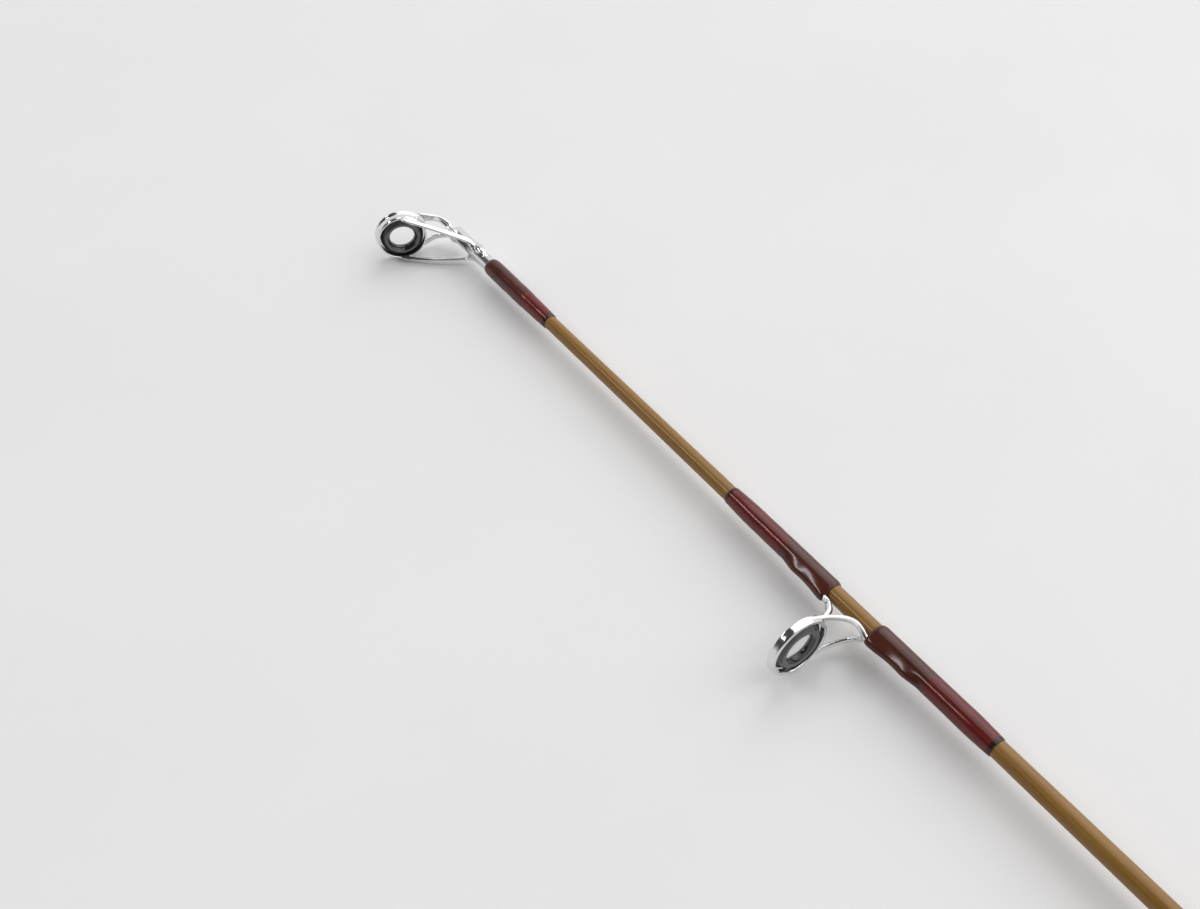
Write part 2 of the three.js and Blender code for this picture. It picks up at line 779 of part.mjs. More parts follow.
function sideCover() {
  const z = -BODY_HALF_WIDTH - CLEAR;
  const cover = turnedZ(
    [
      [z, 0],
      [z, BODY_RADIUS],
      [z - 1.6, BODY_RADIUS],
      [z - 3.2, BODY_RADIUS - 2.4],
      [z - 4, 10],
      [z - 4, 0],
    ],
    28,
  ).translate(0, GEAR_OFFSET, 0);
  const screwSeats = COVER_SCREW_TURNS.map((turn) =>
    onScrewCircle(turnedZ(pin(z - 6, z + 1, COVER_SCREW_RADIUS + 0.2), 10), turn),
  );
  const bearingSeat = turnedZ(
    pin(z - 2.4, z + 1, GEAR_BEARING_RADIUS + CLEAR),
    16,
  ).translate(0, GEAR_OFFSET, 0);
  return cut(cover, bearingSeat, ...screwSeats);
}

function onScrewCircle(geometry, turn) {
  return geometry.translate(
    COVER_SCREW_CIRCLE * Math.cos(degrees(turn)),
    GEAR_OFFSET + COVER_SCREW_CIRCLE * Math.sin(degrees(turn)),
    0,
  );
}

function coverScrew(turn) {
  const head = -BODY_HALF_WIDTH - CLEAR - 4.1;
  return onScrewCircle(turnedZ(pin(head, head + 3.4, COVER_SCREW_RADIUS), 10), turn);
}

const bearing = (inner, outer, thickness) => [
  [0, inner],
  [thickness, inner],
  [thickness, outer],
  [0, outer],
  [0, inner],
];

// ---- reel: gears, handle and rotor --------------------------------------------------------------

const GEAR_TEETH = 45;
const PINION_TEETH = 9;

const toothedOutline = (teeth, root, tip) =>
  Array.from({ length: teeth * 2 }, (_, i) => {
    const turn = (i / (teeth * 2)) * 2 * Math.PI;
    const radius = i % 2 ? root : tip;
    return [radius * Math.cos(turn), radius * Math.sin(turn)];
  });

function driveGear() {
  const disc = plate(toothedOutline(GEAR_TEETH, 16.2, 17.4), -7.2, -4.2);
  const axle = turnedZ(
    [
      [-17.2, 0],
      [-17.2, 3.1],
      [-3, 3.1],
      [HANDLE_Z - CLEAR, 3.1],
      [HANDLE_Z - CLEAR, 0],
    ],
    14,
  );
  return join(disc, axle);
}

function pinionGear() {
  const teeth = new THREE.ExtrudeGeometry(
    new THREE.Shape(
      toothedOutline(PINION_TEETH, 2.9, 3.8).map(([x, y]) => new THREE.Vector2(x, y)),
    ),
    { depth: 9, bevelEnabled: false },
  ).rotateY(Math.PI / 2);
  const neck = turnedX(pin(8.5, 37, 3.2), 16);
  const bore = turnedX(pin(-1, 40, PINION_BORE), 14);
  return cut(join(teeth, neck), bore).translate(11, 0, 0);
}

function handleArm() {
  const arm = plate(
    [
      [0, -4.2],
      [HANDLE_LENGTH * 0.5, -3],
      [HANDLE_LENGTH, -4.4],
      [HANDLE_LENGTH + 3.2, -3],
      [HANDLE_LENGTH + 4.4, 0],
      [HANDLE_LENGTH + 3.2, 3],
      [HANDLE_LENGTH, 4.4],
      [HANDLE_LENGTH * 0.5, 3],
      [0, 4.2],
    ],
    HANDLE_Z,
    HANDLE_Z + 3.6,
    0.8,
  );
  const hub = turnedZ(
    [
      [HANDLE_Z - 5, 3.5],
      [HANDLE_Z - 5, 5.2],
      [HANDLE_Z, 6.4],
      [HANDLE_Z + 4.4, 6.4],
      [HANDLE_Z + 5.6, 4.6],
      [HANDLE_Z + 5.6, 0],
      [HANDLE_Z + CLEAR, 0],
      [HANDLE_Z + CLEAR, 3.5],
      [HANDLE_Z - 5, 3.5],
    ],
    18,
  );
  const spindle = turnedZ(pin(HANDLE_Z + 2, HANDLE_Z + 29, 1.8), 10).translate(HANDLE_LENGTH, 0, 0);
  const open = turnedZ(pin(HANDLE_Z - 6, HANDLE_Z + CLEAR, 3.5), 18);
  return cut(join(arm, hub, spindle), open);
}

const handleKnob = () =>
  turnedZ(
    [
      [0, 2.1],
      [0, 5.4],
      [2, 6.2],
      [8, 5.6],
      [16, 7.6],
      [24, 8.6],
      [29, 7.6],
      [31.5, 4.4],
      [32, 0],
      [25.4, 0],
      [25.4, 2.1],
      [0, 2.1],
    ],
    18,
  ).translate(0, 0, HANDLE_Z + 4.2);

const ROTOR_RADIUS = 24;
const ROTOR_ARM_INNER = 22.7;
const ROTOR_ARM_OUTER = 26.6;
const PIVOT_BOSS_RADIUS = 6.8;

function rotor() {
  const cup = turnedX(
    [
      [37, 3.6],
      [45, 3.6],
      [45, 6.4],
      [39.6, 7.4],
      [39.6, 20],
      [43, 22.2],
      [55, 22.2],
      [55, ROTOR_RADIUS],
      [42, ROTOR_RADIUS],
      [31, 18.6],
      [31, 17.2],
      [36.6, 20],
      [37, 15],
      [37, 3.6],
    ],
    26,
  );
  const armShell = turnedX(sleeve(40, PIVOT_X + 7, ROTOR_ARM_INNER, ROTOR_ARM_OUTER), 26);
  const armOutline = new THREE.Shape();
  armOutline.moveTo(40, -12);
  armOutline.bezierCurveTo(54, -12, 60, -7.5, PIVOT_X, -PIVOT_BOSS_RADIUS);
  armOutline.absarc(PIVOT_X, 0, PIVOT_BOSS_RADIUS, -Math.PI / 2, Math.PI / 2, false);
  armOutline.bezierCurveTo(60, 7.5, 54, 12, 40, 12);
  armOutline.closePath();
  const armBlock = slab(armOutline, -30, 30).rotateX(Math.PI / 2);
  return join(cup, common(armShell, armBlock));
}

const rotorNut = () => cut(turnedX(pin(45.4, 48.4, 6), 6), turnedX(pin(44, 50, 3.5), 14));

// ---- reel: bail ---------------------------------------------------------------------------------

const BAIL_HUB_INNER = 27.1;
const BAIL_HUB_OUTER = 30.4;
const ROLLER_REACH = 20;
const ROLLER_HALF = 2.3;
const ROLLER_Y = -24.4;
const BOSS_Y = ROLLER_Y + ROLLER_HALF + 0.7;
const BAIL_SPREAD = 27.4;
const LEVER_REACH = 8;
const BAIL_HUB_RADIUS = 6.6;
const BAIL_WIRE_RADIUS = 1;

const ahead = (reach) => [
  PIVOT_X + reach * Math.cos(degrees(BAIL_REST)),
  reach * Math.sin(degrees(BAIL_REST)),
];

// A lever in the X-Z plane from the pivot out along the bail's rest direction, between two Y positions.
function bailPlate(reach, hub, end, y0, y1) {
  const outline = [];
  for (let turn = 90; turn <= 270; turn += 30)
    outline.push([hub * Math.cos(degrees(turn)), hub * Math.sin(degrees(turn))]);
  for (let turn = -90; turn <= 90; turn += 45)
    outline.push([reach + end * Math.cos(degrees(turn)), end * Math.sin(degrees(turn))]);
  return plate(outline, y0, y1, 0.6)
    .rotateZ(degrees(BAIL_REST))
    .rotateX(Math.PI / 2)
    .translate(PIVOT_X, 0, 0);
}

// plate() stands the outline's second axis up along Z once it is turned, so its depth runs towards -Y.
function bailArm() {
  const [x, z] = ahead(ROLLER_REACH);
  const screwHole = turnedY(pin(-BAIL_HUB_OUTER - 1, -BAIL_HUB_INNER + 1, 1.35), 10);
  return cut(
    bailPlate(ROLLER_REACH, BAIL_HUB_RADIUS, 3.4, BAIL_HUB_INNER, BAIL_HUB_OUTER),
    screwHole.translate(x, 0, z),
  );
}

const bailLever = () =>
  bailPlate(LEVER_REACH, BAIL_HUB_RADIUS, 3, -BAIL_HUB_OUTER, -BAIL_HUB_INNER);

// The wire runs on from the end of the lever on the far side, arcs over the spool and ends in a boss inside
// the roller. Its points are [reach from the pivots, Y].
function bailWire() {
  const path = [
    [LEVER_REACH + 3.3, (BAIL_HUB_INNER + BAIL_HUB_OUTER) / 2],
    [15.5, 28],
    [20.5, 25.4],
  ];
  const [first, last, count] = [45, 128, 6];
  for (let i = 0; i <= count; i++) {
    const turn = degrees(first + ((last - first) * i) / count);
    path.push([BAIL_REACH * Math.sin(turn), BAIL_SPREAD * Math.cos(turn)]);
  }
  path.push([ROLLER_REACH + 1, BOSS_Y + 1]);
  const points = path.map(([reach, y]) => {
    const [x, z] = ahead(reach);
    return [x, y, z];
  });
  const arc = wire(points, BAIL_WIRE_RADIUS, 6, 18);
  const [x, z] = ahead(ROLLER_REACH);
  const boss = turnedY(
    [
      [BOSS_Y - 0.6, 0],
      [BOSS_Y - 0.6, 2.7],
      [BOSS_Y + 2.4, 1.3],
      [BOSS_Y + 2.4, 0],
    ],
    14,
  );
  const screwHole = turnedY(pin(BOSS_Y - 2, BOSS_Y + 1.4, 1.3), 10);
  return cut(join(arc, boss.translate(x, 0, z)), screwHole.translate(x, 0, z));
}

function rollerScrew() {
  const [x, z] = ahead(ROLLER_REACH);
  return turnedY(
    [
      [-BAIL_HUB_OUTER - 1.6, 0],
      [-BAIL_HUB_OUTER - 1.6, 1.8],
      [-BAIL_HUB_OUTER - 0.3, 2.4],
      [-BAIL_HUB_OUTER - 0.3, 1.05],
      [BOSS_Y + 1.1, 1.05],
      [BOSS_Y + 1.1, 0],
    ],
    10,
  ).translate(x, 0, z);
}

function lineRoller() {
  const [x, z] = ahead(ROLLER_REACH);
  return turnedY(
    [
      [ROLLER_Y - ROLLER_HALF, 1.35],
      [ROLLER_Y + ROLLER_HALF - 0.2, 1.35],
      [ROLLER_Y + ROLLER_HALF - 0.2, 3.1],
      [ROLLER_Y, 2.4],
      [ROLLER_Y - ROLLER_HALF, 3.1],
      [ROLLER_Y - ROLLER_HALF, 1.35],
    ],
    14,
  ).translate(x, 0, z);
}

// ---- reel: shaft, spool and drag ----------------------------------------------------------------

const SHAFT_START_X = -9.6;
const SHAFT_END_X = 86.5;
const SLIDER_LENGTH = 5;

const mainShaft = () => turnedX(pin(SHAFT_START_X, SHAFT_END_X, SHAFT_RADIUS), 12);

function oscillationSlider() {
  const end = SHAFT_START_X + SLIDER_LENGTH;
  const block = box(SHAFT_START_X, end, -3.2, 3.2, -3, 6);
  return cut(block, turnedX(pin(SHAFT_START_X - 1, end + 1, SHAFT_RADIUS + 0.2), 12));
}

const spool = () =>
  turnedX(
    [
      [64, 2.3],
      [64, 19.4],
      [54, 19.4],
      [54, 20.9],
      [65.4, 20.9],
      [66, 13.5],
      [78.6, 13.5],
      [79.4, 20.2],
      [81.2, 21.5],
      [83, 21.2],
      [83.6, 19.6],
      [83, 11.9],
      [70.6, 11.5],
      [70.6, 2.3],
      [64, 2.3],
    ],
    26,
  );

const dragWashers = () => turnedX(sleeve(70.9, 76, 2.3, 10.9), 20);

const dragKnob = () =>
  join(
    turnedX(
      [
        [76.4, 2.1],
        [76.4, 10.7],
        [83.4, 10.7],
        [84.2, 13],
        [88.6, 13],
        [89.6, 12],
        [90.2, 0],
        [87, 0],
        [87, 2.1],
        [76.4, 2.1],
      ],
      20,
    ),
    box(89.4, 93, -2.2, 2.2, -11, 11),
  );

function antiReverseLever() {
  const axle = turnedX(pin(-24, -19.6, LEVER_AXLE_RADIUS), 10);
  const tab = box(-26.5, -23.2, -2, 9, -2, 2);
  return join(axle, tab).translate(0, LEVER_OFFSET, 0);
}

// ---- the reel and the whole rod -----------------------------------------------------------------

function reel() {
  const leverHole = turnedX(pin(-24, -17, LEVER_AXLE_RADIUS + 0.4), 12);
  const crank = placed(
    grouped(
      part("drive_gear", driveGear(), BRASS),
      part("handle_arm", handleArm().rotateZ(degrees(HANDLE_REST)), ALUMINIUM),
      placed(
        part("handle_knob", handleKnob(), BLACK_PLASTIC),
        HANDLE_LENGTH * Math.cos(degrees(HANDLE_REST)),
        HANDLE_LENGTH * Math.sin(degrees(HANDLE_REST)),
      ),
    ),
    0,
    GEAR_OFFSET,
  );
  return placed(
    grouped(
      part("reel_body", cut(reelBody(), leverHole.translate(0, LEVER_OFFSET, 0)), GREY_PAINT),
      part("side_cover", sideCover(), GREY_PAINT),
      ...COVER_SCREW_TURNS.map((turn, i) =>
        part(`cover_screw_${i + 1}`, coverScrew(turn), STEEL),
      ),
      placed(part("pinion_bearing", turnedX(bearing(3.4, PINION_BEARING_RADIUS, 5), 20), STEEL), BEARING_X),
      placed(
        part("gear_bearing_left", turnedZ(bearing(3.3, GEAR_BEARING_RADIUS, 2.4), 16), STEEL),
        0,
        GEAR_OFFSET,
        BODY_HALF_WIDTH - 2.5,
      ),
      placed(
        part("gear_bearing_right", turnedZ(bearing(3.3, GEAR_BEARING_RADIUS, 2.3), 16), STEEL),
        0,
        GEAR_OFFSET,
        -BODY_HALF_WIDTH - 2.5,
      ),
      part("pinion_gear", pinionGear(), BRASS),
      part("rotor", rotor(), GREY_PAINT),
      part("rotor_nut", rotorNut(), STEEL),
      part("bail_arm", bailArm(), ALUMINIUM),
      part("bail_lever", bailLever(), ALUMINIUM),
      part("bail_wire", bailWire(), CHROME),
      part("roller_screw", rollerScrew(), STEEL),
      part("line_roller", lineRoller(), CHROME),
      part("main_shaft", mainShaft(), STEEL),
      part("oscillation_slider", oscillationSlider(), BRASS),
      part("spool", spool(), ALUMINIUM),
      part("drag_washers", dragWashers(), BLACK_PLASTIC),
      part("drag_knob", dragKnob(), BLACK_PLASTIC),
      part("anti_reverse_lever", antiReverseLever(), BLACK_PLASTIC),
      crank,
    ),
    GEAR_X,
    SHAFT_DROP,
  );
}

function rodAndReel() {
  let guideX = TIP_RING_X;
  const guides = GUIDE_STEPS.map((step, i) => {
    guideX -= step;
    return grouped(...guide(i + 1, guideX, GUIDE_SCALES[i]));
  });
  const rod = grouped(
    tipSection(),
    ...guides,
    buttBlank(),
    femaleFerrule(),
    winding("ferrule_butt_winding", FERRULE_REAR_X - 17, FERRULE_REAR_X - CLEAR),
    ...handle(),
    reel(),
  );
  rod.rotation.x = degrees(REST_ROLL);
  const lying = grouped(rod);
  lying.rotation.y = degrees(REST_PITCH);
  const whole = grouped(lying);
  whole.updateMatrixWorld(true);
  const extent = new THREE.Box3().setFromObject(whole, true);
  const middle = extent.getCenter(new THREE.Vector3());
  lying.position.set(-middle.x, -middle.y, -extent.min.z);
  return whole;
}

export default rodAndReel();
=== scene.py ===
"""Looks for a light two-piece spinning rod with its open-face reel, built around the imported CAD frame.

Shapes are made in the rod's own frame, in millimetres: X runs from the butt to the tip, Y points to the
side of the guides and the reel, and Z is the angler's left. Places come from the CAD nodes' boxes and
the joints in that frame. Sizes that the boxes don't give are written here.
"""

import functools
import json
import math

import bpy
import numpy as np
from mathutils import Matrix, Vector

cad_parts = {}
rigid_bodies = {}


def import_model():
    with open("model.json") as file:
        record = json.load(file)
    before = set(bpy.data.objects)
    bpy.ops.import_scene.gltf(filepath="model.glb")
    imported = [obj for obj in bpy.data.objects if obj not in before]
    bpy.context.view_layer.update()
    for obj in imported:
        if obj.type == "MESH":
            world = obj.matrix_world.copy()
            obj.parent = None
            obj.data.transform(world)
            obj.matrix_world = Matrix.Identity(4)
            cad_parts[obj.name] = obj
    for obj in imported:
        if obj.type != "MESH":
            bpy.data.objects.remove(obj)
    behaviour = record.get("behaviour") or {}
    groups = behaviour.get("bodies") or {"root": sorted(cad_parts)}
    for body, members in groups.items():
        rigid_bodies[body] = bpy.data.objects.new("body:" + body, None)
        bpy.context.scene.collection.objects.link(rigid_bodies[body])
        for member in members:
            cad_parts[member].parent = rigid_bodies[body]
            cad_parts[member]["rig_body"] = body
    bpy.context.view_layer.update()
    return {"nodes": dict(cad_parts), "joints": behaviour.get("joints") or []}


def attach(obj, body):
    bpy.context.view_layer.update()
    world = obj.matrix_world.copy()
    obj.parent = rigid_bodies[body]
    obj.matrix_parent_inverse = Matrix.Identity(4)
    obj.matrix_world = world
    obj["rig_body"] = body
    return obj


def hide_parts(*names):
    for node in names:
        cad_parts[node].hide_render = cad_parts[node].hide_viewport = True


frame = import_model()

MM = 0.001
TAU = 2 * math.pi
Y, Z = np.eye(3)[1:]

# ---- the rod's own frame ----

joints = {joint["name"]: joint for joint in frame["joints"]}


def unit(vector):
    vector = np.array(vector, float)
    return vector / np.linalg.norm(vector)


ROD_X = unit(joints["ferrule_slide"]["axis"])
ROD_Y = unit(np.cross(joints["handle_turn"]["axis"], ROD_X))
ROD_Z = np.cross(ROD_X, ROD_Y)
TURN = np.column_stack([ROD_X, ROD_Y, ROD_Z])


def node_points(node):
    vertices = frame["nodes"][node].data.vertices
    points = np.empty(len(vertices) * 3)
    vertices.foreach_get("co", points)
    return points.reshape(-1, 3)


NUT_CENTRE = np.array(joints["lock_nut_turn"]["pos_m"])
BUTT_END = (node_points("butt_cap") @ ROD_X).min()
ORIGIN = NUT_CENTRE + (BUTT_END - NUT_CENTRE @ ROD_X) * ROD_X


def to_rod(points):
    return (np.asarray(points) - ORIGIN) @ TURN / MM


def to_row(points):
    return ORIGIN + MM * np.asarray(points) @ TURN.T


@functools.cache
def rod_points(node):
    return to_rod(node_points(node))


class Span:
    """A CAD node's box in the rod's frame."""

    def __init__(self, node):
        points = rod_points(node)
        self.low, self.high = points.min(0), points.max(0)
        self.middle = (self.low + self.high) / 2
        self.start, self.end = self.low[0], self.high[0]
        self.length = self.end - self.start
        self.radius = (self.high[2] - self.low[2]) / 2


def joint_place(name):
    return to_rod(joints[name]["pos_m"])


# ---- shapes: each is (points, faces) ----


def volume(points, faces):
    total = 0.0
    for corners in {len(face) for face in faces}:
        same = np.array([face for face in faces if len(face) == corners])
        for k in range(1, corners - 1):
            a, b, c = points[same[:, 0]], points[same[:, k]], points[same[:, k + 1]]
            total += (a * np.cross(b, c)).sum()
    return total


def clamp(value, low=0.0, high=1.0):
    return max(low, min(high, value))


def eased(share):
    """0 to 1 with a gentle start and end."""
    return share * share * (3 - 2 * share)


def closed(points, faces):
    """The same shape with its faces pointing out."""
    points = np.array(points, float)
    if volume(points, faces) < 0:
        faces = [face[::-1] for face in faces]
    return points, faces


def moved(shape, offset):
    return shape[0] + np.array(offset, float), shape[1]


def rotated(shape, degrees, axis):
    turn = np.array(Matrix.Rotation(math.radians(degrees), 3, Vector(axis)))
    return shape[0] @ turn.T, shape[1]


def joined(shapes):
    points, faces = [], []
    for shape_points, shape_faces in shapes:
        first = sum(len(p) for p in points)
        points.append(shape_points)
        faces += [tuple(i + first for i in face) for face in shape_faces]
    return np.concatenate(points), faces


def rounded(profile, radius, steps=4):
    """A profile of (along, radius) with its corners off the axis rounded."""
    loop = profile[0] == profile[-1]
    corners = [np.array(p, float) for p in (profile[:-1] if loop else profile)]
    count = len(corners)
    result = []
    for i, corner in enumerate(corners):
        if not loop and i in (0, count - 1) or corner[1] < 1e-6:
            result.append(tuple(corner))
            continue
        before, after = corners[i - 1], corners[(i + 1) % count]
        nearest = min(np.linalg.norm(before - corner), np.linalg.norm(after - corner))
        reach = min(radius, 0.45 * nearest)
        a = corner + unit(before - corner) * reach
        b = corner + unit(after - corner) * reach
        for k in range(steps + 1):
            t = k / steps
            point = (1 - t) ** 2 * a + 2 * t * (1 - t) * corner + t * t * b
            result.append(tuple(point))
    return result + result[:1] if loop else result


def divided(profile, step):
    """The profile with points added so that no stretch is longer than step."""
    result = [profile[0]]
    for (a0, r0), (a1, r1) in zip(profile, profile[1:]):
        pieces = max(1, math.ceil(math.hypot(a1 - a0, r1 - r0) / step))
        for k in range(1, pieces + 1):
            t = k / pieces
            result.append((a0 + (a1 - a0) * t, r0 + (r1 - r0) * t))
    return result


def turned(profile, sides=96, axis="X", swell=None):
    """A profile of (along, radius) turned about an axis. A closed profile makes a ring or a tube.
    swell(along, turn, radius) is added to the radius; turn is 0 on the guide side for X, and grows
    from the first other axis to the second."""
    loop = profile[0] == profile[-1]
    stations = profile[:-1] if loop else profile
    along, radius = (np.array(column, float)[:, None] for column in zip(*stations))
    turns = np.arange(sides)[None, :] * TAU / sides
    reach = radius + (swell(along, turns, radius) if swell else 0 * turns)
    points, rows = [], []
    for i, (place, r) in enumerate(stations):
        first = len(points)
        if r < 1e-6:
            points.append((place, 0.0, 0.0))
            rows.append([first] * sides)
            continue
        columns = np.full(sides, place), reach[i] * np.cos(turns[0]), reach[i] * np.sin(turns[0])
        points += np.column_stack(columns).tolist()
        rows.append(list(range(first, first + sides)))
    faces = []
    pairs = list(zip(rows, rows[1:])) + ([(rows[-1], rows[0])] if loop else [])
    for low, high in pairs:
        for i in range(sides):
            j = (i + 1) % sides
            face = [low[i], low[j], high[j], high[i]]
            corners = [c for k, c in enumerate(face) if c != face[k - 1]]
            if len(corners) > 2:
                faces.append(tuple(corners))
    order = {"X": [0, 1, 2], "Y": [2, 0, 1], "Z": [1, 2, 0]}[axis]
    return closed(np.array(points)[:, order], faces)


def pin(start, end, radius):
    return [(start, 0), (start, radius), (end, radius), (end, 0)]


def sleeve(start, end, inner, outer):
    return [(start, inner), (end, inner), (end, outer), (start, outer), (start, inner)]


def smooth_path(points, steps):
    """A Catmull-Rom curve through the points."""
    p = np.array(points, float)
    p = np.vstack([2 * p[0] - p[1], p, 2 * p[-1] - p[-2]])
    path = []
    for i in range(1, len(p) - 2):
        for k in range(steps):
            t = k / steps
            a, b, c, d = p[i - 1 : i + 3]
            square, cube = 2 * a - 5 * b + 4 * c - d, 3 * b - a - 3 * c + d
            path.append(0.5 * (2 * b + (c - a) * t + square * t * t + cube * t**3))
    return np.array(path + [p[-2]])


def bar(points, across, thick, flat=Z, steps=8, sides=20, squareness=2.0):
    """A bar along a smooth path with round ends. across and thick are half sizes, each a number or a
    list along the path; flat is the direction that across lies along."""
    path = smooth_path(points, steps)
    share = np.linspace(0, 1, len(path))
    half_a = np.interp(share, np.linspace(0, 1, np.size(across)), np.atleast_1d(across))
    half_b = np.interp(share, np.linspace(0, 1, np.size(thick)), np.atleast_1d(thick))
    tangents = np.gradient(path, axis=0)
    tangents /= np.linalg.norm(tangents, axis=1)[:, None]
    rings, result = [], []

    def ring(centre, tangent, a, b):
        wide = unit(np.array(flat) - (np.array(flat) @ tangent) * tangent)
        deep = np.cross(tangent, wide)
        row = []
        for k in range(sides):
            c, s = math.cos(k * TAU / sides), math.sin(k * TAU / sides)
            u = math.copysign(abs(c) ** (2 / squareness), c)
            v = math.copysign(abs(s) ** (2 / squareness), s)
            row.append(len(result))
            result.append(centre + wide * a * u + deep * b * v)
        rings.append(row)

    def cap(i, outward):
        reach = min(half_a[i], half_b[i])
        order = (3, 2, 1) if outward < 0 else (1, 2, 3)
        for k in order:
            angle = k * math.pi / 8
            shrink = math.cos(angle)
            centre = path[i] + tangents[i] * outward * reach * math.sin(angle)
            ring(centre, tangents[i], half_a[i] * shrink, half_b[i] * shrink)

    cap(0, -1)
    for i in range(len(path)):
        ring(path[i], tangents[i], half_a[i], half_b[i])
    cap(len(path) - 1, 1)
    faces = [tuple(rings[0]), tuple(rings[-1][::-1])]
    for low, high in zip(rings, rings[1:]):
        for i in range(sides):
            j = (i + 1) % sides
            faces.append((low[i], high[i], high[j], low[j]))
    return closed(result, faces)


def ball(centre, radii, sides=20):
    """A rounded lump, such as solder."""
    steps = 10
    profile = []
    for k in range(steps + 1):
        angle = math.pi * k / steps
        profile.append((-math.cos(angle), max(0.0, math.sin(angle)) if 0 < k < steps else 0.0))
    points, faces = turned(profile, sides)
    return points * np.array(radii) + np.array(centre), faces


def slab(outline, low, high, edge):
    """An outline in the X-Y plane between two Z values, with its edges rounded over."""
    outline = np.array(outline, float)
    centre = outline.mean(0)
    rings = []
    layers = [(low, 1), (low + 0.3 * edge, 0.3), (low + edge, 0)]
    layers += [(high - edge, 0), (high - 0.3 * edge, 0.3), (high, 1)]
    before, after = np.roll(outline, 1, 0), np.roll(outline, -1, 0)
    along = after - before
    along /= np.linalg.norm(along, axis=1)[:, None]
    inward = np.column_stack([-along[:, 1], along[:, 0]])
    if ((centre - outline) * inward).sum() < 0:
        inward = -inward
    points = []
    for z, share in layers:
        first = len(points)
        for p in outline + inward * edge * share:
            points.append((p[0], p[1], z))
        rings.append([first + i for i in range(len(outline))])
    faces = [tuple(rings[0]), tuple(rings[-1][::-1])]
    for a, b in zip(rings, rings[1:]):
        for i in range(len(outline)):
            j = (i + 1) % len(outline)
            faces.append((a[i], b[i], b[j], a[j]))
    return closed(points, faces)


def bezier(a, b, c, d, steps=10):
    """Points along a cubic curve, without its first one."""
    a, b, c, d = (np.array(p, float) for p in (a, b, c, d))
    ts = [(k + 1) / steps for k in range(steps)]
    points = ((1 - t) ** 3 * a + 3 * t * (1 - t) ** 2 * b + 3 * t * t * (1 - t) * c + t**3 * d for t in ts)
    return [tuple(point) for point in points]


def arc(centre, radius, start, end, steps=12):
    turns = [math.radians(start + (end - start) * k / steps) for k in range(steps + 1)]
    return [(centre[0] + radius * math.cos(turn), centre[1] + radius * math.sin(turn)) for turn in turns]


# ---- Blender objects ----


def blender_mesh(name, shape):
    mesh = bpy.data.meshes.new(name)
    mesh.from_pydata(shape[0].tolist(), [], [list(face) for face in shape[1]])
    mesh.update()
    return mesh


def worked(shape, *steps):
    """The shape after Blender modifiers, each (type, settings), applied while it is in millimetres."""
    holder = bpy.data.objects.new("worked", blender_mesh("worked", shape))
    bpy.context.scene.collection.objects.link(holder)
    tools = []
    for kind, settings in steps:
        modifier = holder.modifiers.new(kind.lower(), kind)
        for key, value in settings.items():
            if key == "object":
                tool = bpy.data.objects.new("tool", blender_mesh("tool", value))
                bpy.context.scene.collection.objects.link(tool)
                tools.append(tool)
                value = tool
            setattr(modifier, key, value)
    bpy.context.view_layer.update()
    graph = bpy.context.evaluated_depsgraph_get()
    result = bpy.data.meshes.new_from_object(holder.evaluated_get(graph))
    points = np.empty(len(result.vertices) * 3)
    result.vertices.foreach_get("co", points)
    faces = [tuple(p.vertices) for p in result.polygons]
    for leftover in [holder, *tools]:
        leftover_mesh = leftover.data
        bpy.data.objects.remove(leftover)
        bpy.data.meshes.remove(leftover_mesh)
    bpy.data.meshes.remove(result)
    return points.reshape(-1, 3), faces


def cut_by(tool):
    return "BOOLEAN", {"operation": "DIFFERENCE", "solver": "EXACT", "object": tool}


def melted(shapes, voxel, passes=4, without=()):
    """The shapes melted into one skin with small fillets where they meet, less the volumes in without."""
    melt = ("REMESH", {"mode": "VOXEL", "voxel_size": voxel})
    shape = joined(shapes)
    if without:
        shape = worked(shape, melt, *[cut_by(tool) for tool in without])
    return worked(shape, melt, ("SMOOTH", {"factor": 0.5, "iterations": passes}))


def piece(name, shape, body, look, *nodes, smooth_angle=None):
    """A shown piece on a body, standing for CAD nodes. look is (material, slot)."""
    mesh = blender_mesh(name, (to_row(shape[0]), shape[1]))
    mesh.shade_smooth()
    if smooth_angle is not None:
        mesh.set_sharp_from_angle(angle=math.radians(smooth_angle))
    material, slot = look
    mesh.materials.append(material)
    made = bpy.data.objects.new(name, mesh)
    bpy.context.scene.collection.objects.link(made)
    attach(made, body)
    if nodes:
        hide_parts(*nodes)
    return made


def paint(made, name, values):
    """A value per vertex for the material to read."""
    attribute = made.data.attributes.new(name, "FLOAT", "POINT")
    attribute.data.foreach_set("value", np.asarray(values, np.float32))


# ---- materials ----


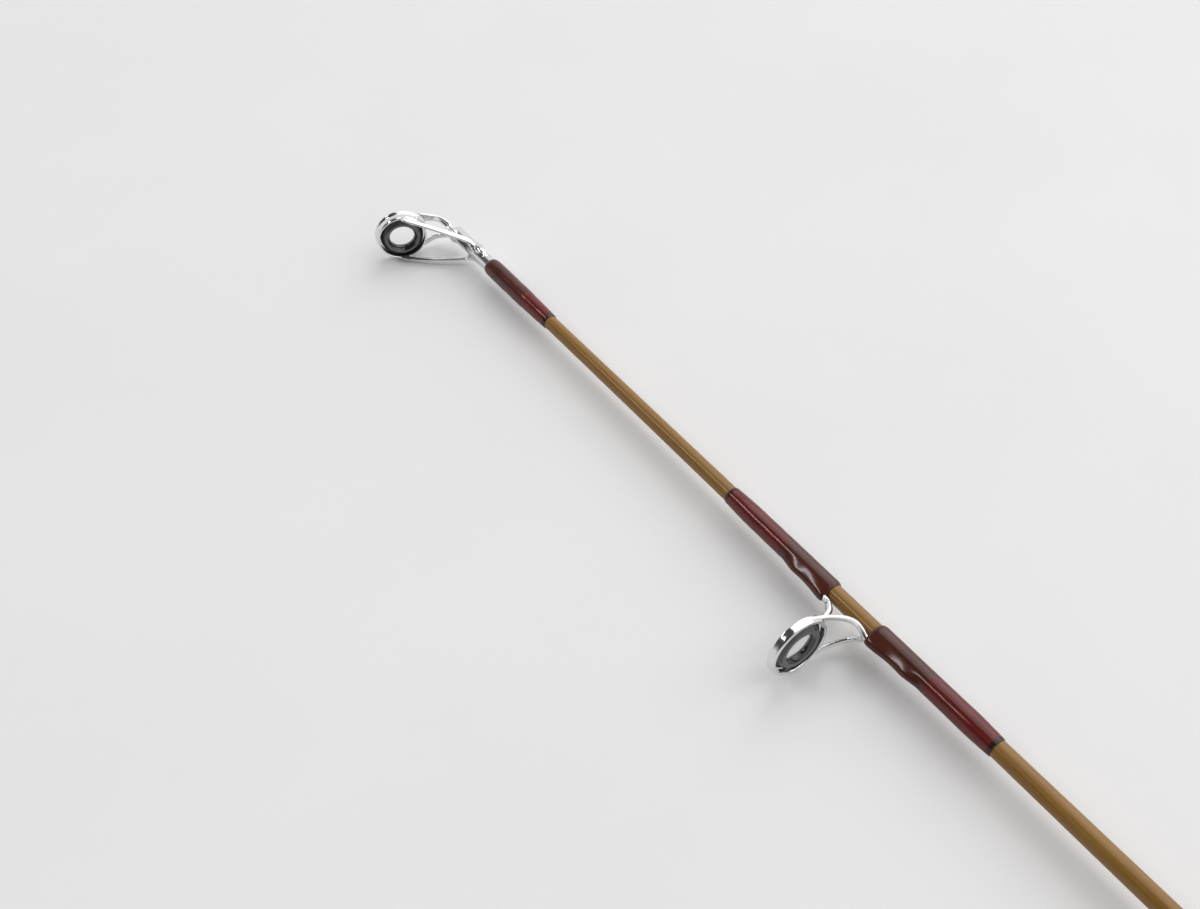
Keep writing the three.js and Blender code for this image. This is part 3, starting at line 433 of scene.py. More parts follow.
class Finish:
    """A Principled material put together from procedural parts. Lengths are in millimetres."""

    def __init__(self, slot, colour, **values):
        self.slot = slot
        self.material = bpy.data.materials.new(slot)
        self.material.use_nodes = True
        self.tree = self.material.node_tree
        self.shader = self.tree.nodes["Principled BSDF"]
        self.shader.inputs["Base Color"].default_value = (*colour, 1)
        for socket, value in values.items():
            self.shader.inputs[socket.replace("_", " ")].default_value = value
        self.height = None

    @property
    def look(self):
        return self.material, self.slot

    def node(self, kind, **settings):
        made = self.tree.nodes.new(kind)
        for key, value in settings.items():
            if key in made.inputs:
                made.inputs[key].default_value = value
            else:
                setattr(made, key.lower(), value)
        return made

    def link(self, output, socket):
        self.tree.links.new(output, socket)

    def place(self, stretch=(1, 1, 1)):
        """Object coordinates in millimetres, divided by stretch."""
        where = self.node("ShaderNodeTexCoord")
        scaled = self.node("ShaderNodeMapping")
        scaled.inputs["Scale"].default_value = [1 / (MM * s) for s in stretch]
        self.link(where.outputs["Object"], scaled.inputs["Vector"])
        return scaled.outputs["Vector"]

    def noise(self, size, detail=3.0, stretch=(1, 1, 1), roughness=0.55):
        made = self.node("ShaderNodeTexNoise", Scale=1 / size, Detail=detail, Roughness=roughness)
        self.link(self.place(stretch), made.inputs["Vector"])
        return made.outputs["Fac"]

    def cells(self, size, stretch=(1, 1, 1)):
        made = self.node("ShaderNodeTexVoronoi", Scale=1 / size)
        self.link(self.place(stretch), made.inputs["Vector"])
        return made.outputs["Distance"]

    def ramp(self, source, stops):
        """stops are (place, colour) or (place, grey)."""
        made = self.node("ShaderNodeValToRGB")
        elements = made.color_ramp.elements
        while len(elements) < len(stops):
            elements.new(1)
        for element, (place, colour) in zip(elements, stops):
            element.position = place
            if np.size(colour) == 1:
                colour = (colour, colour, colour)
            element.color = (*colour, 1)
        self.link(source, made.inputs["Fac"])
        return made.outputs["Color"]

    def mix(self, factor, a, b, blend="MIX"):
        """a and b are colours or outputs; factor is a number or an output."""
        made = self.node("ShaderNodeMix", data_type="RGBA")
        made.blend_type = blend
        for place, value in ((0, factor), (6, a), (7, b)):
            if isinstance(value, bpy.types.NodeSocket):
                self.link(value, made.inputs[place])
            else:
                made.inputs[place].default_value = (*value, 1) if place else value
        return made.outputs[2]

    def attribute(self, name):
        return self.node("ShaderNodeAttribute", attribute_name=name).outputs["Fac"]

    def colour(self, output):
        self.link(output, self.shader.inputs["Base Color"])

    def vary(self, socket, source, low, high):
        """Lets source, from 0 to 1, move a shader value from low to high."""
        made = self.node("ShaderNodeMapRange")
        made.inputs["To Min"].default_value = low
        made.inputs["To Max"].default_value = high
        self.link(source, made.inputs["Value"])
        self.link(made.outputs["Result"], self.shader.inputs[socket])

    def bump(self, source, depth):
        """Relief of that depth, in millimetres, on top of any relief already there."""
        made = self.node("ShaderNodeBump", Strength=1.0, Distance=depth * MM)
        self.link(source, made.inputs["Height"])
        if self.height is not None:
            self.link(self.height, made.inputs["Normal"])
        self.height = made.outputs["Normal"]
        self.link(self.height, self.shader.inputs["Normal"])


def blank_glass():
    """Glass fibre in clear honey-coloured resin: fibres run along the blank under a glossy coat."""
    f = Finish("blank_glass", (0.3, 0.14, 0.03), Roughness=0.45, Coat_Weight=0.55, Coat_Roughness=0.2)
    f.shader.inputs["Specular IOR Level"].default_value = 0.15
    fibres = f.noise(0.22, 4, stretch=(60, 1, 1))
    clouds = f.noise(9, 2, stretch=(3, 1, 1))
    fine = f.ramp(fibres, [(0.3, (0.21, 0.105, 0.016)), (0.7, (0.3, 0.155, 0.028))])
    f.colour(f.mix(clouds, fine, f.mix(1.0, fine, (0.86, 0.82, 0.74), "MULTIPLY")))
    f.bump(fibres, 0.01)
    return f.look


def thread_winding():
    """Thread wound side by side and soaked in clear epoxy. It is red over the blank, brown over metal."""
    f = Finish("thread_winding", (0.12, 0.01, 0.01), Roughness=0.5, Coat_Weight=0.8, Coat_Roughness=0.15)
    f.shader.inputs["Specular IOR Level"].default_value = 0.05
    strands = f.node("ShaderNodeTexWave", Scale=1.0, Distortion=0.35, Detail=2.0)
    strands.wave_type = "BANDS"
    strands.bands_direction = "X"
    strands.wave_profile = "SIN"
    f.link(f.place((0.05, 1, 1)), strands.inputs["Vector"])
    blotch = f.noise(1.7, 3, stretch=(2.5, 1, 1))
    red = f.ramp(blotch, [(0.3, (0.11, 0.007, 0.006)), (0.72, (0.175, 0.013, 0.01))])
    dark = f.ramp(blotch, [(0.3, (0.066, 0.013, 0.007)), (0.72, (0.1, 0.022, 0.012))])
    over = f.mix(f.attribute("over_metal"), red, dark)
    trim = f.mix(f.attribute("trim"), over, (0.032, 0.01, 0.008))
    # painted shade: the colour is darkened in the grooves between the wound strands
    strand_shade = f.ramp(strands.outputs["Fac"], [(0.0, 0.78), (0.6, 1.0)])
    f.colour(f.mix(1.0, trim, strand_shade, "MULTIPLY"))
    f.bump(strands.outputs["Fac"], 0.012)
    return f.look


def polished(slot, colour, roughness, depth=0.004, wear=0.16):
    """Bright metal with faint cloudy wear and hairline marks."""
    f = Finish(slot, colour, Metallic=1.0, Roughness=roughness)
    clouds = f.noise(1.6, 4)
    hairs = f.noise(0.25, 2, stretch=(1, 9, 1))
    f.vary("Roughness", clouds, max(0.02, roughness - 0.05), roughness + wear)
    low = tuple(c * 0.86 for c in colour)
    f.colour(f.mix(f.ramp(clouds, [(0.35, 0.0), (0.75, 1.0)]), colour, low))
    f.bump(hairs, depth)
    return f.look


def ring_ceramic():
    """Near-black polished ceramic with a ground grey face."""
    f = Finish("ring_ceramic", (0.02, 0.02, 0.022), Roughness=0.09, Specular_IOR_Level=0.75)
    grains = f.noise(0.12, 4)
    polished_black = f.ramp(grains, [(0.3, (0.012, 0.012, 0.013)), (0.7, (0.022, 0.022, 0.024))])
    grey = f.ramp(grains, [(0.3, (0.07, 0.071, 0.074)), (0.7, (0.098, 0.099, 0.102))])
    ground = f.attribute("ground")
    f.colour(f.mix(ground, polished_black, grey))
    f.vary("Roughness", ground, 0.07, 0.42)
    return f.look


def cork():
    """Cork rings glued end to end: grain, pits and a thin glue line at each joint."""
    f = Finish("cork", (0.5, 0.3, 0.15), Roughness=0.85, Specular_IOR_Level=0.25)
    grain = f.noise(2.2, 6, stretch=(1.6, 1, 1), roughness=0.65)
    spots = f.cells(1.5, stretch=(1.3, 1, 1))
    base = f.ramp(grain, [(0.3, (0.39, 0.22, 0.1)), (0.5, (0.55, 0.35, 0.18)), (0.7, (0.66, 0.46, 0.27))])
    pits = f.ramp(f.noise(1.1, 5, roughness=0.75), [(0.33, 1.0), (0.4, 0.0)])
    dotted = f.mix(pits, base, (0.13, 0.065, 0.03))
    tinted = f.mix(f.ramp(spots, [(0.0, 0.5), (0.35, 0.0)]), dotted, (0.42, 0.24, 0.11))
    f.colour(f.mix(f.attribute("glue_line"), tinted, (0.16, 0.085, 0.04)))
    f.bump(grain, 0.12)
    f.bump(pits, -0.25)
    return f.look


def butt_rubber():
    f = Finish("butt_rubber", (0.02, 0.02, 0.021), Roughness=0.72, Specular_IOR_Level=0.35)
    dust = f.noise(3.5, 5)
    f.colour(f.ramp(dust, [(0.35, (0.014, 0.014, 0.015)), (0.75, (0.034, 0.034, 0.035))]))
    f.vary("Roughness", dust, 0.6, 0.85)
    f.bump(f.noise(0.35, 3), 0.03)
    return f.look


def moulded(slot, colour, roughness, depth=0.015):
    """Moulded plastic with a fine texture and slightly worn gloss."""
    f = Finish(slot, colour, Roughness=roughness, Specular_IOR_Level=0.45)
    clouds = f.noise(5, 4)
    darker, lighter = (tuple(c * share for c in colour) for share in (0.8, 1.25))
    f.colour(f.ramp(clouds, [(0.3, darker), (0.75, lighter)]))
    f.vary("Roughness", clouds, roughness - 0.06, roughness + 0.12)
    f.bump(f.noise(0.3, 3), depth)
    return f.look


def reel_paint():
    """Dark grey metallic paint under clear lacquer."""
    f = Finish("reel_paint", (0.07, 0.075, 0.082), Metallic=0.35, Roughness=0.36)
    f.shader.inputs["Coat Weight"].default_value = 0.7
    f.shader.inputs["Coat Roughness"].default_value = 0.12
    flakes = f.noise(0.09, 2)
    clouds = f.noise(7, 3)
    flecked = f.ramp(flakes, [(0.35, (0.05, 0.054, 0.06)), (0.68, (0.105, 0.112, 0.122))])
    f.colour(f.mix(clouds, flecked, f.mix(1.0, flecked, (0.84, 0.84, 0.86), "MULTIPLY")))
    f.bump(f.noise(0.6, 2), 0.012)
    return f.look


BLANK = blank_glass()
THREAD = thread_winding()
CHROME = polished("ring_chrome", (0.78, 0.79, 0.8), 0.08, wear=0.1)
CERAMIC = ring_ceramic()
FERRULE = polished("ferrule_metal", (0.72, 0.73, 0.74), 0.2)
CORK = cork()
RUBBER = butt_rubber()
SEAT_PLASTIC = moulded("seat_plastic", (0.018, 0.018, 0.02), 0.25, depth=0.006)
SEAT_CHROME = polished("seat_chrome", (0.74, 0.75, 0.77), 0.12)
REEL_PAINT = reel_paint()
BLACK_PLASTIC = moulded("black_plastic", (0.017, 0.017, 0.018), 0.4)
ALUMINIUM = polished("reel_aluminium", (0.68, 0.69, 0.71), 0.28, depth=0.006)
BAIL_CHROME = polished("bail_chrome", (0.76, 0.77, 0.79), 0.1)
STEEL = polished("steel", (0.56, 0.57, 0.58), 0.25)
BRASS = polished("brass", (0.62, 0.42, 0.16), 0.28)

# ---- blanks ----


def skin_radius(node, x):
    """The largest radius about the rod's axis of a node's corners near x."""
    points = rod_points(node)
    near = np.abs(points[:, 0] - x) < 0.5
    return np.hypot(points[near, 1], points[near, 2]).max()


tip_blank = Span("tip_blank")
butt_blank = Span("butt_blank")
THICK_END = skin_radius("butt_blank", butt_blank.start)
TAPER = (THICK_END - skin_radius("tip_blank", tip_blank.start)) / (tip_blank.start - butt_blank.start)


def blank_radius(x):
    return THICK_END - TAPER * (x - butt_blank.start)


BLANK_WALL = 0.9
TIP_IN_TUBE = 1.06  # radius of the blank inside the tip-top's tube
TIP_HOLLOW = 6  # how far the tip section's butt side is hollow


def blank(name, span, body, end, tip_radius=None):
    """A blank from its span's start to end: a tube, or with a tip_radius one that is hollow only near
    its start and goes on past end as a thinner pin, inside the tip-top."""
    profile = [
        (span.start, blank_radius(span.start) - BLANK_WALL), (span.start, blank_radius(span.start)),
        (end, blank_radius(end)),
    ]
    if tip_radius:
        profile += [(end + 0.4, tip_radius), (span.end, tip_radius), (span.end, 0)]
        profile = [(span.start + TIP_HOLLOW, 0), (span.start + TIP_HOLLOW, profile[0][1])] + profile
    else:
        profile += [(end, blank_radius(end) - BLANK_WALL), profile[0]]
    piece(name, turned(rounded(divided(profile, 20), 0.15), 64), body, BLANK, name)


blank("tip_blank", tip_blank, "tip_section", Span("tip_top_frame").start - 0.4, TIP_IN_TUBE)
blank("butt_blank", butt_blank, "butt_section", butt_blank.end)

# ---- thread windings ----

COAT = 0.36  # thread and epoxy over the blank
DOME = 1.3  # length over which a winding's end rounds down to the metal
FEATHERED = 0.45  # of the full thickness, at the end on the blank
FEATHER_LENGTH = 5
TRIM_WIDTH = 0.75


def dome(distance, length=DOME):
    """How much of the full thickness a winding has at a distance from its end."""
    return math.sqrt(max(0, 1 - (1 - clamp(distance / length)) ** 2))


def over_foot(turns, radius, height, half_width):
    """Radius of a thread drawn tight round the blank and over a round-topped foot on the guide side."""
    centre = radius + height - half_width
    if height <= 0.01:
        return np.full(turns.shape, radius)
    turns = np.abs((turns + math.pi) % TAU - math.pi)
    tangent = math.acos(clamp((radius - half_width) / centre, -1, 1))
    leaves = math.atan2(half_width * math.sin(tangent), centre + half_width * math.cos(tangent))
    across = np.sqrt(np.maximum(half_width**2 - (centre * np.sin(turns)) ** 2, 0))
    top = centre * np.cos(turns) + across
    side = radius / np.cos(np.clip(tangent - turns, 0, tangent - leaves))
    return np.where(turns < leaves, top, side)


def winding(node, body, core, foot, metal, trim_end, sides=72, step=0.14):
    """A winding along a node's span. core(x) is the radius it is wound on, foot(x) the (height, half
    width) of the metal foot under it, metal(x) how far there is metal under it, and trim_end -1 or 1
    for the end with the dark trim band."""
    span = Span(node)
    count = math.ceil(span.length / step)
    stations = [span.start + span.length * i / count for i in range(count + 1)]
    swells = np.random.default_rng(round(span.start)).uniform(-1, 1, 3)
    turns = np.arange(sides) * TAU / sides
    points, rows, over, trim = [], [], [], []

    def ring(x, radii):
        rows.append(list(range(len(points), len(points) + sides)))
        columns = np.full(sides, x), radii * np.cos(turns), radii * np.sin(turns)
        points.extend(np.column_stack(columns).tolist())
        over.extend([metal(x)] * sides)
        from_trim = abs(x - (span.start if trim_end < 0 else span.end))
        trim.extend([1.0 - clamp((from_trim - TRIM_WIDTH) / 0.2)] * sides)

    for x in stations:
        wave = sum(w * math.sin((x - span.start) * f + w) for w, f in zip(swells, (0.31, 0.83, 1.7)))
        from_blank, from_metal = x - span.start, span.end - x
        if trim_end > 0:
            from_blank, from_metal = from_metal, from_blank
        feathered = FEATHERED + (1 - FEATHERED) * clamp(from_blank / FEATHER_LENGTH)
        thick = (COAT + 0.014 * wave) * feathered * dome(from_blank, 0.6) * dome(from_metal)
        ring(x, over_foot(turns, core(x), *foot(x)) + thick + 0.012)
    for x in stations[::-1]:
        ring(x, np.full(sides, core(x) - 0.06))
    faces = []
    for low, high in zip(rows, rows[1:] + rows[:1]):
        for i in range(sides):
            j = (i + 1) % sides
            faces.append((low[i], low[j], high[j], high[i]))
    shape = worked(closed(points, faces), ("SMOOTH", {"factor": 0.5, "iterations": 7}))
    made = piece(node, shape, body, THREAD, node)
    paint(made, "over_metal", over)
    paint(made, "trim", trim)


def no_foot(x):
    return 0.0, 1.0


tip_tube_start = Span("tip_top_frame").start
TIP_TUBE_RADIUS = 1.42


def tip_winding_core(x):
    """The tip-top's tube ends inside its winding; ahead of there the thread lies on the tube."""
    share = clamp((x - tip_tube_start + 1.2) / 1.4)
    return blank_radius(x) + (TIP_TUBE_RADIUS - blank_radius(x)) * eased(share)


def over_tip_tube(x):
    return clamp((x - tip_tube_start + 0.6) / 0.8)


winding("tip_top_winding", "tip_section", tip_winding_core, no_foot, over_tip_tube, -1)

GUIDE_CERAMIC_RADIUS = 4.82  # on guide 1; the others are scaled from it
FOOT_HEEL = 4.4  # times the guide's scale
RING_AHEAD = 0.2  # times the guide's scale
RING_HALF_DEPTH = 0.78
RING_HOLE = 2.45
GUIDE_SEAT = 1.02 * GUIDE_CERAMIC_RADIUS
GUIDE_BORE = 1.015 * GUIDE_CERAMIC_RADIUS
GUIDE_RIM = 5.62
GUIDE_FLANGE = 5.66


class Guide:
    """One guide's places, from its nodes. toe is how far its feet reach from its middle."""

    def __init__(self, number):
        self.name = f"guide_{number}"
        self.body = frame["nodes"][f"{self.name}_frame"]["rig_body"]
        ring = Span(f"{self.name}_ring")
        whole = Span(f"{self.name}_frame")
        self.x = (whole.start + whole.end) / 2
        self.height = ring.middle[1]
        self.scale = ring.radius / GUIDE_CERAMIC_RADIUS
        self.toe = whole.length / 2
        self.skin = blank_radius(self.x)


FOOT_HALF_WIDTH = 0.8
FOOT_SHAPE = smooth_path(
    [
        (0, 1.12, 0.8), (0.18, 1.0, 0.78), (0.4, 0.68, 0.64), (0.55, 0.61, 0.6), (0.72, 0.66, 0.64),
        (0.88, 0.42, 0.55), (1.04, 0, 0.4),
    ],
    6,
)  # share of the way from heel to toe, height and half width of the thread's core over guide 1's foot


def guide_windings(guide):
    s = guide.scale
    heel, toe = FOOT_HEEL * s, guide.toe

    def foot(x):
        """High at the heel, a waist, and a last rise near the toe before it drops to the blank."""
        share = (abs(x - guide.x) - heel) / (toe - heel)
        height = np.interp(share, FOOT_SHAPE[:, 0], FOOT_SHAPE[:, 1])
        return height * s, np.interp(share, FOOT_SHAPE[:, 0], FOOT_SHAPE[:, 2]) * math.sqrt(s)

    def metal(x):
        return 1 - clamp((abs(x - guide.x) - toe - 0.2) / 1.2)

    for side, end in (("front", 1), ("rear", -1)):
        winding(f"{guide.name}_{side}_winding", guide.body, blank_radius, foot, metal, end, step=0.14 * s)


# ---- guides ----


def ceramic_ring(outer, hole, half_depth):
    """A ring with a flat ground face on the near side, polished bevels either side of it and a rounded
    hole. Returns the shape and how much each point is on the ground face."""
    near, far = -1.1 * half_depth, 0.9 * half_depth
    bead = 0.13 * outer
    bevel = 0.23 * outer
    profile = [(0.5 * half_depth, outer * 0.985), (far, outer * 0.88), (far, hole + bead)]
    profile += [
        (far + (near - far) * k / 12, hole + bead * (1 - math.sin(k * math.pi / 12)) ** 1.2)
        for k in range(1, 12)
    ]
    profile += [(near, hole + bead), (near, outer - bevel), (near + 1.1 * bevel, outer * 0.985)]
    profile += [(0.5 * half_depth, outer * 0.985)]
    shape = turned(rounded(profile, 0.07), 96)
    ground = np.clip((shape[0][:, 0] - near * 0.9) / (near * 0.1), 0, 1)
    return shape, ground


def ring_rim(outer, seat, half_depth, flange):
    """The metal round a ceramic ring: a short barrel with a flange on the far side."""
    profile = [
        (-half_depth, seat), (half_depth, seat * 0.985), (half_depth, flange),
        (half_depth * 0.6, flange), (half_depth * 0.4, outer), (-half_depth * 0.6, outer),
        (-half_depth, outer * 0.97), (-half_depth, seat),
    ]
    return turned(rounded(profile, 0.14), 96)


def guide_frame(guide):
    """A ring on one strut ahead and two bowed legs that meet in a foot behind."""
    s, skin, height = guide.scale, guide.skin, guide.height
    base = skin + 0.3 * s
    broad = math.sqrt(s)
    wire = 0.47 * broad
    near_edge = height - 5.3 * s
    heel, toe = FOOT_HEEL * s, guide.toe
    front = bar(
        [
            (toe, base - 0.1 * s, 0), ((heel + toe) / 2, base + 0.12 * s, 0),
            (heel + 0.3 * s, base + 0.35 * s, 0), (3.5 * s, base + 0.9 * s, 0),
            (2.5 * s, base + 1.9 * s, 0), (1.6 * s, near_edge - 0.6 * s, 0),
            (0.5 * s, near_edge + 0.2 * s, 0),
        ],
        [0.5 * broad, 0.7 * broad, 0.8 * broad, 0.95 * broad, 1.05 * broad, 1.3 * broad],
        [0.16 * s, 0.34 * s, 0.5 * s, 0.66 * s, 0.66 * s, 0.5 * s],
    )
    rear = bar(
        [
            (-toe, base - 0.1 * s, 0), (-(heel + toe) / 2, base + 0.12 * s, 0),
            (-heel, base + 0.3 * s, 0), (-3.9 * s, base + 0.35 * s, 0),
        ],
        [0.5, FOOT_HALF_WIDTH * broad, FOOT_HALF_WIDTH * broad],
        [0.16 * s, 0.36 * s, 0.42 * s],
    )
    legs = [
        bar(
            [
                (-5.0 * s, skin + 0.8 * s, side * 0.2 * s),
                (-4.4 * s, skin + 0.78 * s, side * 0.45 * s),
                (-3.4 * s, skin + 0.85 * s, side * 1.2 * s),
                (-2.2 * s, skin + 1.4 * s, side * 2.1 * s),
                (-1.2 * s, skin + 2.8 * s, side * 2.9 * s),
                (-0.4 * s, skin + 4.7 * s, side * 3.6 * s),
                (0.1 * s, skin + 6.7 * s, side * 4.25 * s),
                (0.3 * s, skin + 8.4 * s, side * 4.85 * s),
                (0.4 * s, skin + 9.8 * s, side * 5.2 * s),
            ],
            [wire * 1.05, wire * 1.1, wire * 1.1, wire * 1.05, wire * 0.7],
            [wire * 0.85, wire * 0.9, wire * 0.95, wire * 0.95, wire * 0.6],
            flat=(0.3, -0.6, side * 0.75),
        )
        for side in (1, -1)
    ]
    rim = ring_rim(GUIDE_RIM * s, GUIDE_SEAT * s, RING_HALF_DEPTH * s, GUIDE_FLANGE * s)
    rim = moved(rim, (RING_AHEAD * s, height, 0))
    bore = moved(turned(pin(-3 * s, 3 * s, GUIDE_BORE * s), 96), (0, height, 0))
    shape = melted([front, rear, *legs, rim], 0.13 * s, 5, without=[bore])
    return moved(shape, (guide.x, 0, 0))


def make_guide(number):
    guide = Guide(number)
    guide_windings(guide)
    piece(f"{guide.name}_frame", guide_frame(guide), guide.body, CHROME, f"{guide.name}_frame")
    s = guide.scale
    ring, ground = ceramic_ring(GUIDE_CERAMIC_RADIUS * s, RING_HOLE * s, RING_HALF_DEPTH * s)
    ring = moved(ring, (guide.x + RING_AHEAD * s, guide.height, 0))
    made = piece(f"{guide.name}_ring", ring, guide.body, CERAMIC, f"{guide.name}_ring")
    paint(made, "ground", ground)


for number in (1, 2, 3, 4):
    make_guide(number)

# ---- tip-top ----

TIP_LEAN = -22  # degrees: the ring's far side leans ahead
TIP_RING_FROM_WINDING = 17.6
TIP_RING_HEIGHT = 9.75
TIP_HALF_DEPTH = 1.15
TIP_TUBE_FRONT = -4.7  # from the ring
TIP_TUBE_BORE = 1.2
TIP_RIM = 4.95
TIP_FLANGE = 5.25
TIP_SEAT = 4.45
TIP_BORE = 4.42
TIP_CERAMIC = 4.36
TIP_HOLE = 2.42
TIP_SOLDER = [
    ((-13.2, -0.1, 1.25), (2.5, 1.0, 0.8)), ((-11.5, 0.6, 1.6), (1.1, 0.75, 0.6)),
    ((-12.4, 0.9, 1.1), (0.8, 0.5, 0.5)), ((-5.3, 0.85, 0.8), (1.3, 0.75, 0.7)),
    ((-1.2, 9.9, 4.6), (0.7, 0.7, 0.35)),
]  # each lump's place from the ring, on the angler's left, and its half sizes; both sides have one


def tip_top():
    """The tube, the ring leaning ahead, two prongs from the tube's front that run into the ring's
    flange, and two flat braces from the tube's sides to the ring's sides, all soldered together."""
    tube_start = Span("tip_top_frame").start
    ring_x = Span("tip_top_winding").end + TIP_RING_FROM_WINDING
    profile = [
        (tube_start - ring_x, TIP_TUBE_BORE), (TIP_TUBE_FRONT - 0.6, TIP_TUBE_BORE),
        (TIP_TUBE_FRONT - 0.6, 0), (TIP_TUBE_FRONT, 0), (TIP_TUBE_FRONT, TIP_TUBE_RADIUS),
        (tube_start - ring_x, TIP_TUBE_RADIUS), (tube_start - ring_x, TIP_TUBE_BORE),
    ]
    tube = turned(rounded(profile, 0.3), 48)

    def leant(shape):
        return moved(rotated(shape, TIP_LEAN, Z), (0, TIP_RING_HEIGHT, 0))

    rim = leant(ring_rim(TIP_RIM, TIP_SEAT, TIP_HALF_DEPTH, TIP_FLANGE))
    prongs = [
        bar(
            [
                (-6.6, 1.05, side * 0.7), (-5.4, 1.1, side * 0.85), (-4.4, 1.0, side * 1.05),
                (-3.2, 1.1, side * 1.4), (-1.9, 1.75, side * 1.95), (-1.0, 2.9, side * 2.4),
                (-0.75, 4.2, side * 2.8), (-0.55, 5.3, side * 3.25), (-0.4, 6.0, side * 3.65),
            ],
            [0.5, 0.54, 0.58, 0.6, 0.66, 0.8, 0.62],
            [0.34, 0.3, 0.26, 0.24, 0.24, 0.26, 0.22],
            flat=(0, -0.55, side * 0.83),
            squareness=4,
        )
        for side in (1, -1)
    ]
    braces = [
        bar(
            [
                (-15.6, 0.05, side * 1.35), (-13.6, 0.1, side * 1.5), (-12.1, 0.4, side * 1.7),
                (-10.9, 0.9, side * 2.1), (-9.6, 2.1, side * 2.6), (-5.6, 6.0, side * 3.8),
                (-1.7, 9.7, side * 4.6),
            ],
            [0.4, 0.5, 0.62, 0.66, 0.58],
            [0.3, 0.3, 0.28, 0.28, 0.26],
            flat=(0.62, -0.68, side * 0.15),
            squareness=3,
        )
        for side in (1, -1)
    ]
    solder = [ball((x, y, side * z), radii) for (x, y, z), radii in TIP_SOLDER for side in (1, -1)]
    bore = leant(turned(pin(-3, 3, TIP_BORE), 96))
    shape = melted([tube, rim, *prongs, *braces, *solder], 0.11, 4, without=[bore])
    piece("tip_top_frame", moved(shape, (ring_x, 0, 0)), "tip_section", CHROME, "tip_top_frame")
    inner, ground = ceramic_ring(TIP_CERAMIC, TIP_HOLE, TIP_HALF_DEPTH)
    made = piece("tip_top_ring", moved(leant(inner), (ring_x, 0, 0)), "tip_section", CERAMIC, "tip_top_ring")
    paint(made, "ground", ground)


tip_top()

# ---- ferrules ----


PLUG_RADIUS = 3.26
SOCKET_RADIUS = 3.36
SOCKET_DEPTH = 27


def ferrules():
    male, female = Span("male_ferrule"), Span("female_ferrule")
    bore = blank_radius(male.start) + 0.1
    shoulder = female.end + 0.6
    profile = [
        (male.start, bore), (male.end, bore), (male.end, bore + 0.15), (male.end - 5, bore + 0.5),
        (shoulder + 3.4, bore + 0.5), (shoulder + 2.8, male.radius), (shoulder, male.radius),
        (shoulder - 0.3, PLUG_RADIUS), (male.start, PLUG_RADIUS), (male.start, bore),
    ]
    piece("male_ferrule", turned(rounded(profile, 0.35), 96), "tip_section", FERRULE, "male_ferrule")
    blank_bore = blank_radius(female.start) + 0.1
    welt = female.radius
    profile = [
        (female.start, blank_bore), (female.end - SOCKET_DEPTH - 0.4, blank_bore),
        (female.end - SOCKET_DEPTH, SOCKET_RADIUS), (female.end, SOCKET_RADIUS), (female.end, welt),
        (female.end - 3.5, welt), (female.end - 4, welt - 0.4), (female.start + 6, welt - 0.4),
        (female.start, blank_bore + 0.15), (female.start, blank_bore),
    ]
    piece("female_ferrule", turned(rounded(profile, 0.35), 96), "butt_section", FERRULE, "female_ferrule")


ferrules()
winding("ferrule_tip_winding", "tip_section", blank_radius, no_foot, lambda x: 0.0, 1)
winding("ferrule_butt_winding", "butt_section", blank_radius, no_foot, lambda x: 0.0, -1)

# ---- handle ----


def butt_cap():
    span = Span("butt_cap")
    r = span.radius
    grooves = (8.2, 10.2, 12.2)
    profile = [
        (0, 0), (0, r - 3.2), (0.8, r - 1.4), (2.6, r - 0.3), (6, r), (14, r), (14, 4.7), (4.1, 4.7),
        (4.1, 0),
    ]

    def swell(along, turn, radius):
        depth = sum(np.exp(-(((along - g) / 0.35) ** 2)) for g in grooves)
        return np.where(radius > r - 1, -0.45 * depth, 0) + 0 * turn

    shape = turned(divided(rounded(profile, 1.2), 0.25), 128, swell=swell)
    piece("butt_cap", shape, "butt_section", RUBBER, "butt_cap")


CORK_RING = 12.7


def cork_grip(node, stations):
    """A turned cork grip through the CAD grip's radii, with glue lines between its rings and small pits."""
    span = Span(node)
    rng = np.random.default_rng(round(span.length))
    places = np.linspace(span.start, span.end, stations)
    curve = smooth_path([(x, skin_radius(node, x), 0) for x in places], 24)
    bore = blank_radius(span.middle[0]) + 0.15
    skin = [tuple(p[:2]) for p in curve]
    profile = [(span.start, bore), (span.end, bore)] + skin[::-1] + [(span.start, bore)]
    count = round(span.length * 2.2)
    pits = np.column_stack(
        [
            rng.uniform(span.start + 1, span.end - 1, count),
            rng.uniform(0, TAU, count),
            rng.uniform(0.25, 0.9, count),
            rng.uniform(0.04, 0.22, count),
        ]
    )

    def line(along):
        from_joint = (along - span.start + CORK_RING / 2) % CORK_RING - CORK_RING / 2
        inside = (along > span.start + 2) & (along < span.end - 2)
        return np.where(inside, np.exp(-((from_joint / 0.22) ** 2)), 0)

    def swell(along, turn, radius):
        outside = radius > bore + 1
        lift = -0.09 * line(along)
        for place, where, size, depth in pits:
            around = ((turn - where + math.pi) % TAU - math.pi) * radius
            lift = lift - depth * np.exp(-(((along - place) / (size * 0.7)) ** 2) - (around / size) ** 2)
        return np.where(outside, lift, 0)

    shape = turned(divided(rounded(profile, 0.6), 0.4), 150, swell=swell)
    made = piece(node, shape, "butt_section", CORK, node)
    paint(made, "glue_line", line(shape[0][:, 0]))


THREAD_PITCH = 1.5
NUT_RIDGES = 44
HOOD_LENGTH = 20
HOOD_TAPER = 12  # from its mouth to where its inside is down to the seat
HOOD_OPEN = math.radians(48)  # from the guide side to where it starts to close on the seat
HOOD_CLOSING = math.radians(42)


